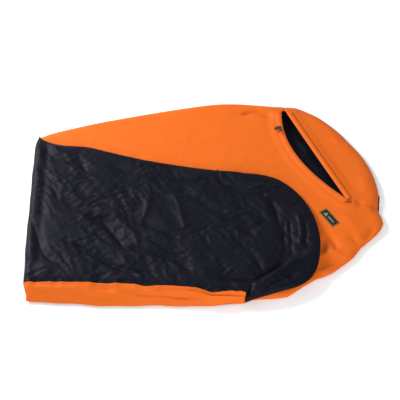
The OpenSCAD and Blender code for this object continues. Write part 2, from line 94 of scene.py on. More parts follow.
class SackSizes(bpy.types.PropertyGroup):
    """Sizes of the cloth as it lies."""

    head_len: metres("Head length", "Reach from the fold to the hood tip", 1.16)
    foot_len: metres("Foot length", "Reach from the fold to the foot tip", 0.964)
    shoulder_half: metres("Shoulder half width", "Half width where the hood begins", 0.435)
    fold_half: metres("Fold half width", "Half width at the fold", 0.345)
    shoulder_reach: metres("Shoulder reach", "Reach to where the hood begins", 0.66)
    foot_reach: metres("Foot reach", "Reach to where the round foot begins", 0.74)
    cloth: metres("Cloth thickness", "Thickness of each fabric", 0.0005)
    mesh_step: metres("Mesh step", "Distance between points of the cloth", 0.006)
    hem_width: metres("Hem width", "Width of the drawcord hem", 0.020)
    cord_diameter: metres("Cord diameter", "Diameter of the drawcord", 0.0025)
    stitch_pitch: metres("Stitch pitch", "Distance from stitch to stitch", 0.0042)


class SackColours(bpy.types.PropertyGroup):
    """Base colours, in linear light."""

    shell: linear_colour("Shell", "Orange of the upper fabric", (0.565, 0.101, 0.006))
    floor: linear_colour("Floor", "Black of the floor fabric", (0.0034, 0.0036, 0.0072))
    label: linear_colour("Label", "Ground colour of the woven label", (0.006, 0.011, 0.007))
    label_edge: linear_colour("Label border", "Pale yarn of the woven label", (0.26, 0.22, 0.10))


class StudioSettings(bpy.types.PropertyGroup):
    """Camera settings."""

    elevation: bpy.props.FloatProperty(
        name="Elevation", description="Camera height above the horizon",
        default=math.radians(50), subtype="ANGLE")
    distance: metres("Distance", "From the camera to its target", 5.0)
    lens: bpy.props.FloatProperty(
        name="Lens", description="Focal length in millimetres", default=136.4, min=20, max=300)


def sizes():
    return bpy.context.scene.bivy_sizes


def colours():
    return bpy.context.scene.bivy_colours


# ---- Flat outlines ----


def smooth(t):
    t = np.clip(t, 0, 1)
    return t * t * (3 - 2 * t)


def unit(v):
    return v / np.linalg.norm(v)


def closest(points, at):
    """Number of the point nearest to a place."""
    return int(np.argmin(np.linalg.norm(points - at, axis=1)))


def rolled_over(off, radius):
    """Share of its full height that cloth has at a distance from an edge it is rolled over at."""
    return np.sqrt(np.clip(1 - np.clip(1 - off / radius, 0, 1) ** 2, 0, 1))


class Plan:
    """Outlines of both halves, from points given as (reach, offset) along each half's centre line."""

    corner_share, corner_reach = 0.0101, 0.06
    corner_tuck, foot_tuck = 0.014, 0.014
    foot_near_half, foot_far_half, floor_near_half = 0.28, 0.24, 0.26
    corner_angle, seam_angle = 61, -15
    # (angle round the hood in degrees, share of the plain ellipse), set after another program's output
    hood_shape = ((-90, 0.972), (-84, 0.970), (-78, 0.992), (-73.5, 1.008), (-69.5, 0.984), (-66, 0.970),
                  (-60, 0.960), (-54, 0.986), (-48, 0.988), (-42, 1.000), (-35.5, 0.995), (-29, 1.027),
                  (-24, 1.055), (-20.5, 1.060), (-17, 1.035), (-14, 1.003), (-9, 1.002), (-4, 1.010), (8, 1.006),
                  (28, 1.005), (39, 1.030), (48, 1.054), (57, 1.064), (61.6, 1.037), (66, 1.014), (73, 1.0),
                  (90, 1.0))

    def __init__(self):
        self.size = sizes()
        rough = [self.turn(s, t, 1) for s, t in self.head_side(1) + self.hood_round(90, 0, shaped=False)]
        self.fold_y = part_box("head_upper")[1][1] - max(p[1] for p in rough)

    @staticmethod
    def turn(s, t, way):
        return s * math.cos(SKEW) - way * t * math.sin(SKEW), t * math.cos(SKEW) + way * s * math.sin(SKEW)

    def place(self, points, way):
        """Points of the head half (way 1) or the foot half (way -1) in the object's frame."""
        out = []
        for s, t in points:
            x, y = self.turn(s, t, way)
            y *= 1 + way * self.corner_share * math.exp(-max(x, 0) / self.corner_reach)
            out.append((FOLD_X + x, self.fold_y + y - self.tuck(x, t, way)))
        return out

    def tuck(self, x, t, way):
        """How far the far side is drawn in beside the fold, more for the foot half."""
        far = float(smooth((t - 0.10) / 0.18))
        pull = self.corner_tuck * math.exp(-max(x, 0) / 0.025) + 0.003 * math.exp(-max(x, 0) / 0.2)
        if way < 0:
            pull = self.corner_tuck + 0.003 + self.foot_tuck * float(smooth(x / 0.02))
            pull *= 1 - float(smooth((x - 0.05) / 0.15))
        return far * pull

    def unplace(self, xy, way):
        """(reach, offset) of points in the object's frame."""
        x, y = xy[:, 0] - FOLD_X, xy[:, 1] - self.fold_y
        y = y / (1 + way * self.corner_share * np.exp(-np.maximum(x, 0) / self.corner_reach))
        return np.stack([x * math.cos(SKEW) + way * y * math.sin(SKEW),
                         y * math.cos(SKEW) - way * x * math.sin(SKEW)], 1)

    def head_half(self, s):
        z = self.size
        return z.shoulder_half - (z.shoulder_half - z.fold_half) * max(0, 1 - s / z.shoulder_reach) ** 1.5

    def foot_near(self, s):
        wave = 0.0022 * math.sin(s * 23 + 0.6) + 0.0012 * math.sin(s * 51)
        low = self.foot_near_half
        return low + (self.size.fold_half - low) * (1 - max(0, s / self.size.foot_reach) ** 1.8) + wave

    def foot_far(self, s):
        low = self.foot_far_half
        return low + (self.size.fold_half - low) * max(0, 1 - s / self.size.foot_reach) ** 2.5

    def floor_near(self, s):
        slack = 0.006 * math.exp(-((s - 0.435) / 0.03) ** 2) + 0.014 * math.exp(-((s - 0.640) / 0.035) ** 2)
        return self.floor_near_half + 0.042 * max(0, 1 - s / self.size.foot_reach) ** 2.3 + slack

    def side(self, half, side, way, end, inset=0.0, steps=60):
        start = 0.0
        for _ in range(6):
            start = way * side * (half(start) - inset) * math.tan(SKEW)
        return [(s, side * (half(s) - inset)) for s in np.linspace(start, end, steps)]

    def head_side(self, side, inset=0.0):
        return self.side(self.head_half, side, 1, self.size.shoulder_reach, inset)

    def hood_round(self, start, end, inset=0.0, steps=90, shaped=True):
        """The hood's edge: an ellipse, drawn in and out a little where the cloth lies slack."""
        z, points = self.size, []
        at, shares = zip(*self.hood_shape)
        for a in np.linspace(start, end, steps):
            share, turn = float(np.interp(a, at, shares)) if shaped else 1.0, math.radians(a)
            points.append((z.shoulder_reach + ((z.head_len - z.shoulder_reach) * share - inset) * math.cos(turn),
                           (z.shoulder_half * share - inset) * math.sin(turn)))
        return points

    def foot_round(self, start, end, inset=0.0, steps=70):
        z, points = self.size, []
        for a in np.radians(np.linspace(start, end, steps)):
            half, out = self.foot_far_half, math.sin(a)
            if a <= 0:
                half, out = self.foot_near_half, -abs(out) ** 0.8
            tucked = 0.028 * math.exp(-((math.degrees(a) + 58) / 22) ** 2)
            short = 0.013 * math.exp(-((math.degrees(a) + 38) / 16) ** 2)
            points.append((z.foot_reach + (z.foot_len - z.foot_reach - inset) * math.cos(a) - short,
                           (half - inset) * out - 0.05 * math.cos(a) ** 2 + tucked))
        return points

    def cap_seam(self, steps=70):
        """The foot cap's seam, from the far edge to the near floor seam."""
        ctrl = [(0.600, 0.250), (0.612, 0.195), (0.640, 0.172), (0.700, 0.164), (0.760, 0.146), (0.800, 0.095),
                (0.827, 0.025), (0.843, -0.060), (0.846, -0.115), (0.822, -0.155), (0.783, -0.185),
                (0.757, -0.222), (0.742, -0.262)]
        return curve_through(ctrl, steps)

    def opening(self):
        """Chest edge and hood edge of the face opening, each from the outer corner to the inner end."""
        z = self.size
        edge = np.array(self.hood_round(self.corner_angle, self.corner_angle, steps=1, shaped=False)[0])
        way = unit(edge - (z.shoulder_reach, 0))
        corner, across = edge - 0.021 * way, np.array([-way[1], way[0]])
        inner = np.array([z.head_len - 0.109, -0.057])
        along = unit(inner - corner)
        chestward = np.array([along[1], -along[0]])
        edges = []
        for bow, start in ((0.053, corner - 0.001 * across), (0.001, corner - 0.024 * across)):
            mid = (start + inner) / 2 + 2 * bow * chestward - 0.9 * bow * along
            u = np.linspace(0, 1, 90)[:, None]
            edges.append((1 - u) ** 2 * start + 2 * u * (1 - u) * mid + u * u * inner)
        return edges

    def seam_end(self):
        """Where the hood seam meets the edge."""
        return self.place(self.hood_round(self.seam_angle, self.seam_angle, steps=1), 1)[0]


def curve_through(points, steps):
    """A smooth curve through points, as a list."""
    p = np.array(points, float)
    p = np.vstack([2 * p[0] - p[1], p, 2 * p[-1] - p[-2]])
    out = []
    for t in np.linspace(0, len(points) - 1 - 1e-9, steps):
        i, f = int(t), t - int(t)
        a, b, c, d = p[i:i + 4]
        out.append(tuple(0.5 * ((2 * b) + (c - a) * f + (2 * a - 5 * b + 4 * c - d) * f * f
                                + (3 * b - a - 3 * c + d) * f ** 3)))
    return out


def resample(points, step, closed=False):
    """Points at even distances along a line, both ends kept."""
    p = np.array(points, float)
    if closed:
        p = np.vstack([p, p[:1]])
    run = np.concatenate([[0], np.cumsum(np.linalg.norm(np.diff(p, axis=0), axis=1))])
    count = max(2, round(run[-1] / step) + 1)
    at = np.linspace(0, run[-1], count)
    out = np.stack([np.interp(at, run, p[:, k]) for k in range(p.shape[1])], 1)
    return out[:-1] if closed else out


def distance(xy, line):
    """Distance from each point to a line of points."""
    a, b = line[:-1], line[1:]
    d = b - a
    best = np.full(len(xy), 1e9)
    length = np.maximum((d ** 2).sum(1), 1e-12)
    for start in range(0, len(xy), 4000):
        part = xy[start:start + 4000, None, :] - a[None]
        t = np.clip((part * d[None]).sum(2) / length, 0, 1)
        best[start:start + 4000] = np.linalg.norm(part - t[..., None] * d[None], axis=2).min(1)
    return best


def inside(xy, loop):
    """Which points lie in a closed loop."""
    a, b = loop, np.roll(loop, -1, 0)
    found = np.zeros(len(xy), bool)
    for (x0, y0), (x1, y1) in zip(a, b):
        if y0 == y1:
            continue
        hit = (xy[:, 1] > min(y0, y1)) & (xy[:, 1] <= max(y0, y1))
        found ^= hit & (xy[:, 0] < x0 + (xy[:, 1] - y0) * (x1 - x0) / (y1 - y0))
    return found


def offset(line, by):
    """A line moved sideways, to its left for a positive distance."""
    way = np.gradient(line, axis=0)
    way /= np.maximum(np.linalg.norm(way, axis=1), 1e-9)[:, None]
    return line + by * np.stack([-way[:, 1], way[:, 0]], 1)


# ---- Cloth meshes ----


class Cloth:
    """Points and faces of one piece of cloth."""

    def __init__(self, points=(), faces=()):
        self.points = np.array(points, float).reshape(-1, 3)
        self.faces = [tuple(f) for f in faces]

    def add(self, other):
        start = len(self.points)
        self.points = np.vstack([self.points, other.points])
        self.faces += [tuple(i + start for i in f) for f in other.faces]
        return self


def region(boundary, step, dense=(), height=None, seed=1):
    """A triangulated flat region. dense is a list of (line, distances) where the mesh is finer, and height
    gives z from an array of (x, y)."""
    loop = np.array(boundary, float)
    keep = [0]
    for i in range(1, len(loop)):
        if np.linalg.norm(loop[i] - loop[keep[-1]]) > step * 0.15:
            keep.append(i)
    if np.linalg.norm(loop[keep[-1]] - loop[0]) < step * 0.15:
        keep.pop()
    loop = loop[keep]
    rng = np.random.default_rng(seed)
    low, high = loop.min(0), loop.max(0)
    rows = np.arange(low[1], high[1], step * 0.866)
    grid = np.array([(x + (step / 2 if j % 2 else 0), y)
                     for j, y in enumerate(rows) for x in np.arange(low[0], high[0], step)])
    grid += rng.uniform(-0.08, 0.08, grid.shape) * step
    extra = []
    reach = np.zeros(len(grid), bool)
    for line, distances in dense:
        line = np.array(line, float)
        near = distance(grid, line)
        reach |= near < max(distances) + step * 0.5
        for d in distances:
            for side in (-1, 1):
                extra.append(offset(line, side * d))
    grid = grid[~reach]
    closed = np.vstack([loop, loop[:1]])
    grid = grid[inside(grid, loop)]
    grid = grid[distance(grid, closed) > step * 0.5]
    if extra:
        extra = np.vstack(extra)
        extra = extra[inside(extra, loop)]
        extra = extra[distance(extra, closed) > 0.0005]
        cell = {}
        for p in extra:
            cell.setdefault((round(p[0] / 0.0009), round(p[1] / 0.0009)), p)
        grid = np.vstack([grid, np.array(list(cell.values()))])
    flat = np.vstack([loop, grid])
    found = geometry.delaunay_2d_cdt([Vector(p) for p in flat], [], [list(range(len(loop)))], 1, 1e-6)
    xy = np.array([tuple(v) for v in found[0]])
    z = height(xy) if height else np.zeros(len(xy))
    return Cloth(np.column_stack([xy, z]), found[2])


def strip(rows):
    """A band of quads between rows of points, all of one length."""
    rows = [np.array(r, float) for r in rows]
    n = len(rows[0])
    faces = [(j * n + i, j * n + i + 1, (j + 1) * n + i + 1, (j + 1) * n + i)
             for j in range(len(rows) - 1) for i in range(n - 1)]
    return Cloth(np.vstack(rows), faces)


def with_z(xy, z):
    return np.column_stack([xy, np.full(len(xy), z) if np.isscalar(z) else z])


def link(name, data):
    obj = bpy.data.objects.new(name, data)
    bpy.context.scene.collection.objects.link(obj)
    return obj


def carry(obj, body, slot, *nodes):
    """Lets an object ride on a body, in place of the CAD nodes it stands for."""
    if nodes:
        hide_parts(*nodes)
    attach(obj, body)
    return obj


def make(name, cloth, material, thick=0.0, weld=0.0002, smooth_shade=True):
    """A mesh object from cloth, given its thickness as real geometry."""
    mesh = bpy.data.meshes.new(name)
    mesh.from_pydata([tuple(p) for p in cloth.points], [], cloth.faces)
    work = bmesh.new()
    work.from_mesh(mesh)
    bmesh.ops.remove_doubles(work, verts=work.verts, dist=weld)
    bmesh.ops.dissolve_degenerate(work, dist=1e-6, edges=work.edges)
    bmesh.ops.recalc_face_normals(work, faces=work.faces)
    work.to_mesh(mesh)
    work.free()
    obj = link(name, mesh)
    mesh.materials.append(material)
    if thick:
        thicken(obj, thick)
    if smooth_shade:
        obj.data.polygons.foreach_set("use_smooth", [True] * len(obj.data.polygons))
    return obj


def thicken(obj, thick):
    """Gives a sheet its thickness, half on each side."""
    shell = obj.modifiers.new("thickness", "SOLIDIFY")
    shell.thickness, shell.offset, shell.use_even_offset = thick, 0, False
    graph = bpy.context.evaluated_depsgraph_get()
    mesh = bpy.data.meshes.new_from_object(obj.evaluated_get(graph))
    obj.modifiers.clear()
    obj.data = mesh


def across_fold(reaches, low, high, count):
    """Lines beside the fold where a region's mesh is finer."""
    y = np.linspace(low, high, count)
    return [(np.column_stack([np.full(count, FOLD_X + reach), y]), (0.0,)) for reach in reaches]


class FoldLines:
    """Folds pressed into lying cloth: each is a smooth line with a sharp crest or valley and soft shoulders."""

    def __init__(self, plan, way, lines, depth):
        self.lines = []
        for points, height, width in lines:
            line = curve_through(plan.place(points, way), 8 * len(points))
            self.lines.append((np.array(line), height * depth, width))

    def __call__(self, xy):
        z = np.zeros(len(xy))
        for line, height, width in self.lines:
            low, high = line.min(0) - 5 * width, line.max(0) + 5 * width
            near = ((xy > low) & (xy < high)).all(1)
            off = distance(xy[near], line)
            ends = np.minimum(*(np.linalg.norm(xy[near] - end, axis=1) for end in (line[0], line[-1])))
            fade = 0.25 + 0.75 * smooth(ends / (3 * width))
            z[near] += height * fade * np.exp(-np.sqrt(off ** 2 + (0.2 * width) ** 2) / width)
        return z


def cloud(xy, seed, along, across, angle):
    """Smooth random heights from -1 to 1, in patches of one size and direction."""
    turn = np.array([[math.cos(angle), -math.sin(angle)], [math.sin(angle), math.cos(angle)]])
    p = (xy @ turn) / (along, across) + 40
    cell = np.floor(p).astype(int)
    f = p - cell
    w = f ** 3 * (f * (f * 6 - 15) + 10)
    slopes = np.random.default_rng(seed).uniform(0, 2 * math.pi, (128, 128))

    def corner(i, j):
        a = slopes[(cell[:, 0] + i) % 128, (cell[:, 1] + j) % 128]
        return (f[:, 0] - i) * np.cos(a) + (f[:, 1] - j) * np.sin(a)

    low = corner(0, 0) * (1 - w[:, 0]) + corner(1, 0) * w[:, 0]
    high = corner(0, 1) * (1 - w[:, 0]) + corner(1, 1) * w[:, 0]
    return 1.4 * (low * (1 - w[:, 1]) + high * w[:, 1])


def crumple(xy, seed, along, across, angle, height, sharp=0.05):
    """Thin crests between shallow bowls, as in cloth that has been packed away."""
    bent = xy + 0.25 * across * np.stack([cloud(xy, seed + 50, across, across, 0.3),
                                          cloud(xy, seed + 51, across, across, 0.9)], 1)
    n = cloud(bent, seed, along, across, angle)
    patch = smooth(0.5 + 1.2 * cloud(xy, seed + 52, 0.22, 0.16, 0.4))
    return height * (0.25 + 0.75 * patch) * (0.35 - np.sqrt(n * n + sharp * sharp)) * 2


# ---- Heights ----


class Heights:
    """Where each layer of cloth lies above the ground."""

    fold_round, corner_in, strip_drop = 0.022, 0.010, 0.021
    head_level, under_level, foot_below = 0.0236, 0.0262, 0.0075
    head_edge, near_edge, foot_edge, turned_under = 0.0085, 0.0045, 0.036, 0.0012
    head_depth, foot_depth = 2.3, 1.9
    # Each fold is a line of (reach, offset) points, its height before the half's depth factor, and its width.
    # A valley's height is below zero. The points in both tables are the output of another program.
    foot_lines = (
        (((0.226, 0.012), (0.268, -0.038), (0.308, -0.087), (0.344, -0.136)), -0.007, 0.016),
        (((0.159, -0.12), (0.255, -0.172), (0.351, -0.214), (0.43, -0.22), (0.461, -0.24)), -0.006, 0.009),
        (((0.346, -0.115), (0.44, -0.142), (0.517, -0.165), (0.57, -0.2)), -0.006, 0.01),
        (((0.373, -0.016), (0.439, -0.041), (0.514, -0.076)), -0.005, 0.009),
        (((0.398, -0.072), (0.47, -0.117), (0.535, -0.142)), -0.005, 0.009),
        (((0.332, 0.222), (0.426, 0.23), (0.521, 0.234)), -0.003, 0.007),
        (((0.266, 0.201), (0.354, 0.188), (0.442, 0.177), (0.57, 0.177)), -0.004, 0.008),
        (((0.006, -0.012), (0.082, -0.176), (0.134, -0.212)), -0.004, 0.012),
        (((0.05, 0.126), (0.074, 0.084), (0.098, 0.042)), -0.003, 0.01),
        (((0.121, 0.266), (0.172, 0.168)), -0.004, 0.009),
        (((0.175, -0.038), (0.195, -0.003), (0.216, 0.022)), 0.005, 0.012),
        (((0.247, -0.23), (0.285, -0.205)), -0.004, 0.008),
        (((0.084, 0.228), (0.134, 0.215), (0.166, 0.179)), -0.003, 0.009),
        (((0.385, 0.117), (0.39, 0.051), (0.378, -0.015)), 0.003, 0.01),
        (((0.46, 0.131), (0.495, 0.052), (0.527, -0.042)), 0.003, 0.01),
        (((0.64, -0.217), (0.709, -0.212), (0.769, -0.2), (0.818, -0.162), (0.851, -0.133),
          (0.863, -0.11)), -0.01, 0.011),
        (((0.75, -0.278), (0.793, -0.222), (0.825, -0.186), (0.877, -0.128), (0.911, -0.107),
          (0.952, -0.06)), 0.007, 0.01),
        (((0.775, -0.262), (0.835, -0.207), (0.906, -0.161)), -0.006, 0.012),
        (((0.856, 0.05), (0.868, -0.03), (0.875, -0.103)), -0.004, 0.006),
        (((0.881, 0.076), (0.897, 0.008), (0.899, -0.06)), 0.004, 0.006),
        (((0.905, 0.055), (0.915, -0.001), (0.911, -0.048)), -0.004, 0.006),
        (((0.838, 0.048), (0.846, -0.032), (0.862, -0.098)), -0.005, 0.007),
        (((0.719, 0.07), (0.752, 0.051)), -0.005, 0.01),
        (((0.729, 0.001), (0.756, 0.01), (0.781, 0.03)), -0.005, 0.01),
        (((0.596, 0.201), (0.646, 0.17), (0.693, 0.151), (0.753, 0.146)), -0.005, 0.009),
        (((0.706, 0.159), (0.768, 0.184), (0.84, 0.143)), 0.004, 0.01),
        (((0.785, 0.143), (0.813, 0.075), (0.827, 0.012)), -0.005, 0.012),
        (((0.758, -0.121), (0.778, -0.152), (0.776, -0.18)), -0.005, 0.008),
        (((0.735, -0.157), (0.763, -0.132)), 0.004, 0.01),
        (((0.627, -0.09), (0.685, -0.101), (0.709, -0.115)), -0.004, 0.009),
        (((0.631, -0.135), (0.685, -0.19)), -0.004, 0.009),
    )
    head_lines = (
        (((0.747, 0.369), (0.806, 0.377), (0.86, 0.351), (0.899, 0.352)), -0.006, 0.008),
        (((0.809, 0.402), (0.864, 0.379), (0.931, 0.375)), 0.004, 0.008),
        (((0.959, -0.176), (0.985, -0.236), (0.974, -0.275)), -0.006, 0.012),
        (((1.028, -0.195), (1.059, -0.227), (1.087, -0.224)), -0.005, 0.012),
        (((1.134, -0.165), (1.099, -0.208), (1.065, -0.245)), -0.006, 0.014),
        (((0.934, -0.276), (0.972, -0.263), (1.013, -0.285)), 0.006, 0.016),
        (((0.931, -0.321), (0.983, -0.304), (1.029, -0.298)), -0.006, 0.014),
        (((0.944, -0.185), (0.943, -0.232), (0.934, -0.276)), -0.008, 0.012),
        (((1.07, -0.061), (1.091, -0.072)), -0.006, 0.005),
        (((1.092, -0.093), (1.083, -0.089)), -0.004, 0.005),
        (((1.126, -0.082), (1.138, -0.089), (1.149, -0.108)), -0.005, 0.006),
        (((1.063, 0.01), (1.053, -0.026)), -0.003, 0.008),
        (((0.846, 0.318), (0.868, 0.306)), -0.003, 0.008),
        (((0.888, -0.344), (0.924, -0.337), (0.966, -0.352)), 0.005, 0.012),
        (((1.017, -0.1), (1.049, -0.156), (1.064, -0.199)), 0.003, 0.018),
        (((0.942, 0.191), (0.959, 0.114), (0.977, 0.05)), -0.002, 0.014),
        (((1.118, 0.059), (1.124, 0.009), (1.111, -0.038)), 0.003, 0.014),
        (((1.046, 0.244), (1.073, 0.177)), 0.002, 0.014),
    )

    def __init__(self, plan):
        self.plan = plan
        step = sizes().mesh_step
        self.head_far = resample(plan.place(plan.head_side(1) + plan.hood_round(90, -90)[1:], 1), step)
        self.head_near = resample(plan.place(plan.head_side(-1), 1), step)
        self.foot_near = resample(plan.place(plan.side(plan.foot_near, -1, -1, 0.742), -1), step)
        self.foot_far = resample(plan.place(
            plan.side(plan.foot_far, 1, -1, plan.size.foot_reach) + plan.foot_round(90, -90)[1:], -1), step)
        self.foot_cap_edge = resample(plan.place(plan.foot_round(90, -90), -1), step)
        self.floor_seam = resample(plan.place(plan.side(plan.floor_near, -1, -1, 0.742), -1), step)
        self.cap_seam = resample(plan.place(plan.cap_seam(), -1), step)
        self.cap_start = closest(self.foot_far, self.cap_seam[0])
        self.cap_seam[0] = self.foot_far[self.cap_start]
        chest, hood = plan.opening()
        self.chest_edge = resample(plan.place(chest, 1), step * 0.8)
        self.hood_edge = resample(plan.place(hood, 1), step * 0.8)
        self.hood_seam = np.array([self.chest_edge[-1], plan.seam_end()])
        self.head_folds = FoldLines(plan, 1, self.head_lines, self.head_depth)
        self.foot_folds = FoldLines(plan, -1, self.foot_lines, self.foot_depth)

    def head_slack(self, xy):
        """Waves, packing creases and folds of the orange top."""
        z = 0.0018 * cloud(xy, 3, 0.30, 0.16, 0.5) + crumple(xy, 4, 0.16, 0.07, 0.5, 0.0012)
        z += crumple(xy, 5, 0.06, 0.03, 1.2, 0.0005)
        near = smooth((xy[:, 0] - 0.22) / 0.14) * smooth((-0.10 - xy[:, 1]) / 0.16)
        z += near * (0.0080 * cloud(xy, 6, 0.12, 0.060, 0.75) + crumple(xy, 7, 0.10, 0.05, 0.7, 0.0042))
        return z + self.head_folds(xy)

    def foot_slack(self, xy):
        """Waves, packing creases and folds of the black floor."""
        z = 0.0030 * cloud(xy, 11, 0.26, 0.13, -0.6) + crumple(xy, 12, 0.20, 0.065, -0.65, 0.0055, 0.03)
        z += crumple(xy, 13, 0.09, 0.030, -1.0, 0.0026, 0.04) + crumple(xy, 14, 0.05, 0.022, 0.4, 0.0020, 0.05)
        return z + self.foot_folds(xy)

    def middle(self, xy):
        """Height of the line where the halves meet: low under the near strip, and at the hinge elsewhere."""
        near = distance(xy, self.foot_near)
        side = self.plan.unplace(xy, -1)[:, 1] < 0
        return np.where(side, FOLD_Z - self.strip_drop * (1 - smooth(near / 0.050)), FOLD_Z)

    def close(self, points):
        """Draws all heights to the middle at the fold, so the cloth rounds over there."""
        x = points[:, 0] - FOLD_X
        arc = rolled_over(x, self.fold_round)
        mid = self.middle(points[:, :2])
        out = points.copy()
        out[:, 2] = mid + (points[:, 2] - mid) * arc
        y0, y1 = self.floor_seam[0][1] - 0.045, self.foot_far[0][1]
        ends = 1 - smooth(np.minimum(points[:, 1] - y0, y1 - points[:, 1]) / 0.05)
        wobble = 0.0012 * (1 + np.sin(points[:, 1] * 41 + 1.0) * np.sin(points[:, 1] * 17))
        near_end = 0.005 * np.exp(-((points[:, 1] - y0) / 0.13) ** 2)
        out[:, 0] += (self.corner_in * ends + wobble + near_end) * np.exp(-np.maximum(x, 0) / 0.05)
        return out

    def head_top(self, xy):
        """Top of the head half's upper fabric."""
        far = distance(xy, self.head_far)
        near = distance(xy, self.head_near)
        x = xy[:, 0]
        slack = self.head_slack(xy)
        hem = np.minimum(distance(xy, self.chest_edge), distance(xy, self.hood_edge))
        slack = slack - 0.0022 * np.exp(-distance(xy, self.hood_seam) / 0.006) * (0.6 + 0.4 * np.sin(x * 160))
        level = self.head_level + slack - 0.0036 * smooth((x - 0.22) / 0.1) * smooth((-0.12 - xy[:, 1]) / 0.1)
        under = (x < 0.36) & (inside(xy, self.foot_loop()))
        level = np.where(under, np.minimum(level, self.under_level), level)
        level = level + (LYING_H - 0.0006 - level) * (1 - smooth((hem - 0.021) / 0.030))
        roll = 0.026 + 0.006 * np.sin(x * 13 + xy[:, 1] * 9)
        edge = self.head_edge + (level - self.head_edge) * rolled_over(far, roll)
        lean = smooth((0.20 - x) / 0.10)
        slope = self.near_edge + (level - self.near_edge) * smooth(near / 0.065)
        rolled = 0.0075 + (level - 0.0075) * rolled_over(near, 0.026)
        soft = np.where(near < far + 0.2, lean * slope + (1 - lean) * rolled, level)
        return np.clip(np.minimum(edge, soft), 0.0015, LYING_H - 0.0002)

    def foot_loop(self):
        return np.vstack([self.foot_far, self.foot_near[::-1]])

    def foot_under(self, xy):
        """Underside of the foot half, just over the head half."""
        level = np.full(len(xy), FOLD_Z + 0.0010)
        near = distance(xy, self.foot_near)
        low = self.head_top(xy) + 0.0014
        dip = 1 - smooth(near / 0.060)
        return level + (np.minimum(low, level) - level) * dip

    def foot_top(self, xy):
        """Top of the foot half's black fabric."""
        far = distance(xy, self.foot_far)
        tip = distance(xy, self.foot_cap_edge)
        seam = distance(xy, self.floor_seam)
        cap = distance(xy, self.cap_seam)
        slack = self.foot_slack(xy)
        x = xy[:, 0] - FOLD_X
        level = FOLDED_H - self.foot_below + slack - 0.0035 * np.exp(-((x - 0.045) / 0.014) ** 2)
        level -= 0.0045 * np.exp(-(seam / 0.018) ** 2) + 0.0018 * np.exp(-(cap / 0.007) ** 2)
        level -= 0.006 * smooth((xy[:, 0] - 0.16) / 0.16)
        level = np.clip(level, FOLD_Z + 0.0085, FOLDED_H - 0.0008)
        roll = 0.024 + 0.006 * np.sin(x * 17)
        low = self.foot_edge - 0.003 * smooth((xy[:, 0] - 0.1) / 0.2) - 0.005 * (1 - smooth((x - 0.03) / 0.15))
        return low + (level - low) * np.minimum(rolled_over(far, roll), rolled_over(tip, 0.032))


# ---- Shader expressions ----


def operator(operation, flipped=False):
    """A method that makes a maths node from a shader value and another value."""
    def apply(self, other):
        return self.maths(operation, other, self) if flipped else self.maths(operation, self, other)
    return apply


class Socket:
    """A shader value, so that maths on it can be written as an expression."""

    __add__, __radd__ = operator("ADD"), operator("ADD", flipped=True)
    __sub__, __rsub__ = operator("SUBTRACT"), operator("SUBTRACT", flipped=True)
    __mul__, __rmul__ = operator("MULTIPLY"), operator("MULTIPLY", flipped=True)
    __gt__, __lt__ = operator("GREATER_THAN"), operator("LESS_THAN")

    def __init__(self, shader, link):
        self.shader, self.link = shader, link

    def maths(self, operation, first, second):
        return self.shader.node("ShaderNodeMath", {"operation": operation}, {0: first, 1: second})

    def __abs__(self):
        return self.maths("ABSOLUTE", self, 0.0)


class Shader:
    """One material and the nodes behind it."""

    def __init__(self, name, **constants):
        self.material = bpy.data.materials.new(name)
        self.material.use_nodes = True
        self.tree = self.material.node_tree
        self.surface = self.tree.nodes["Principled BSDF"]
        for socket, value in constants.items():
            self.surface.inputs[socket.replace("_", " ").title().replace("Ior", "IOR")].default_value = value

    def node(self, kind, settings=None, values=None, output=0):
        made = self.tree.nodes.new(kind)
        for name, value in (settings or {}).items():
            if name == "stops":
                ramp = made.color_ramp.elements
                while len(ramp) < len(value):
                    ramp.new(0.5)
                for element, (at, colour) in zip(ramp, value):
                    element.position, element.color = at, (*colour, 1)
            else:
                setattr(made, name, value)
        for key, value in (values or {}).items():
            self.feed(made.inputs[key], value)
        return Socket(self, made.outputs[output])

    def feed(self, socket, value):
        if isinstance(value, Socket):
            self.tree.links.new(value.link, socket)
        elif hasattr(value, "__len__") and len(value) == 3 and len(socket.default_value) == 4:
            socket.default_value = (*value, 1)
        else:
            socket.default_value = value

    def place(self):
        return self.node("ShaderNodeTexCoord", output="Object")

    def part(self, vector, which):
        return self.node("ShaderNodeSeparateXYZ", {}, {0: vector}, output=which)

    def scaled(self, vector, scale, turn=0.0):
        return self.node("ShaderNodeMapping", {}, {"Vector": vector, "Scale": scale, "Rotation": (0, 0, turn)})

    def noise(self, vector, scale, detail=3.0, rough=0.5):
        return self.node("ShaderNodeTexNoise", {}, {
            "Vector": vector, "Scale": scale, "Detail": detail, "Roughness": rough})

    def wave(self, vector, scale, direction):
        return self.node("ShaderNodeTexWave", {"wave_type": "BANDS", "bands_direction": direction}, {
            "Vector": vector, "Scale": scale})

    def mix(self, share, first, second):
        return self.node("ShaderNodeMix", {"data_type": "RGBA"}, {0: share, 6: first, 7: second}, output=2)

    def set(self, socket, value):
        self.feed(self.surface.inputs[socket], value)

    def bump(self, height, strength, depth):
        self.set("Normal", self.node("ShaderNodeBump", {}, {
            "Height": height, "Strength": strength, "Distance": depth}))


def bands(pitch):
    """Scale of a wave texture whose bands lie one pitch apart."""
    return 1 / pitch / 6.2832 * 2


def woven(shader, vector, pitch, turn):
    """Height of a plain weave: two crossed sets of yarns."""
    laid = shader.scaled(vector, (1, 1, 1), turn)
    return shader.wave(laid, bands(pitch), "X") * 0.5 + shader.wave(laid, bands(pitch), "Y") * 0.5


def shade(colour, share):
    return tuple(min(1.0, c * share) for c in colour)


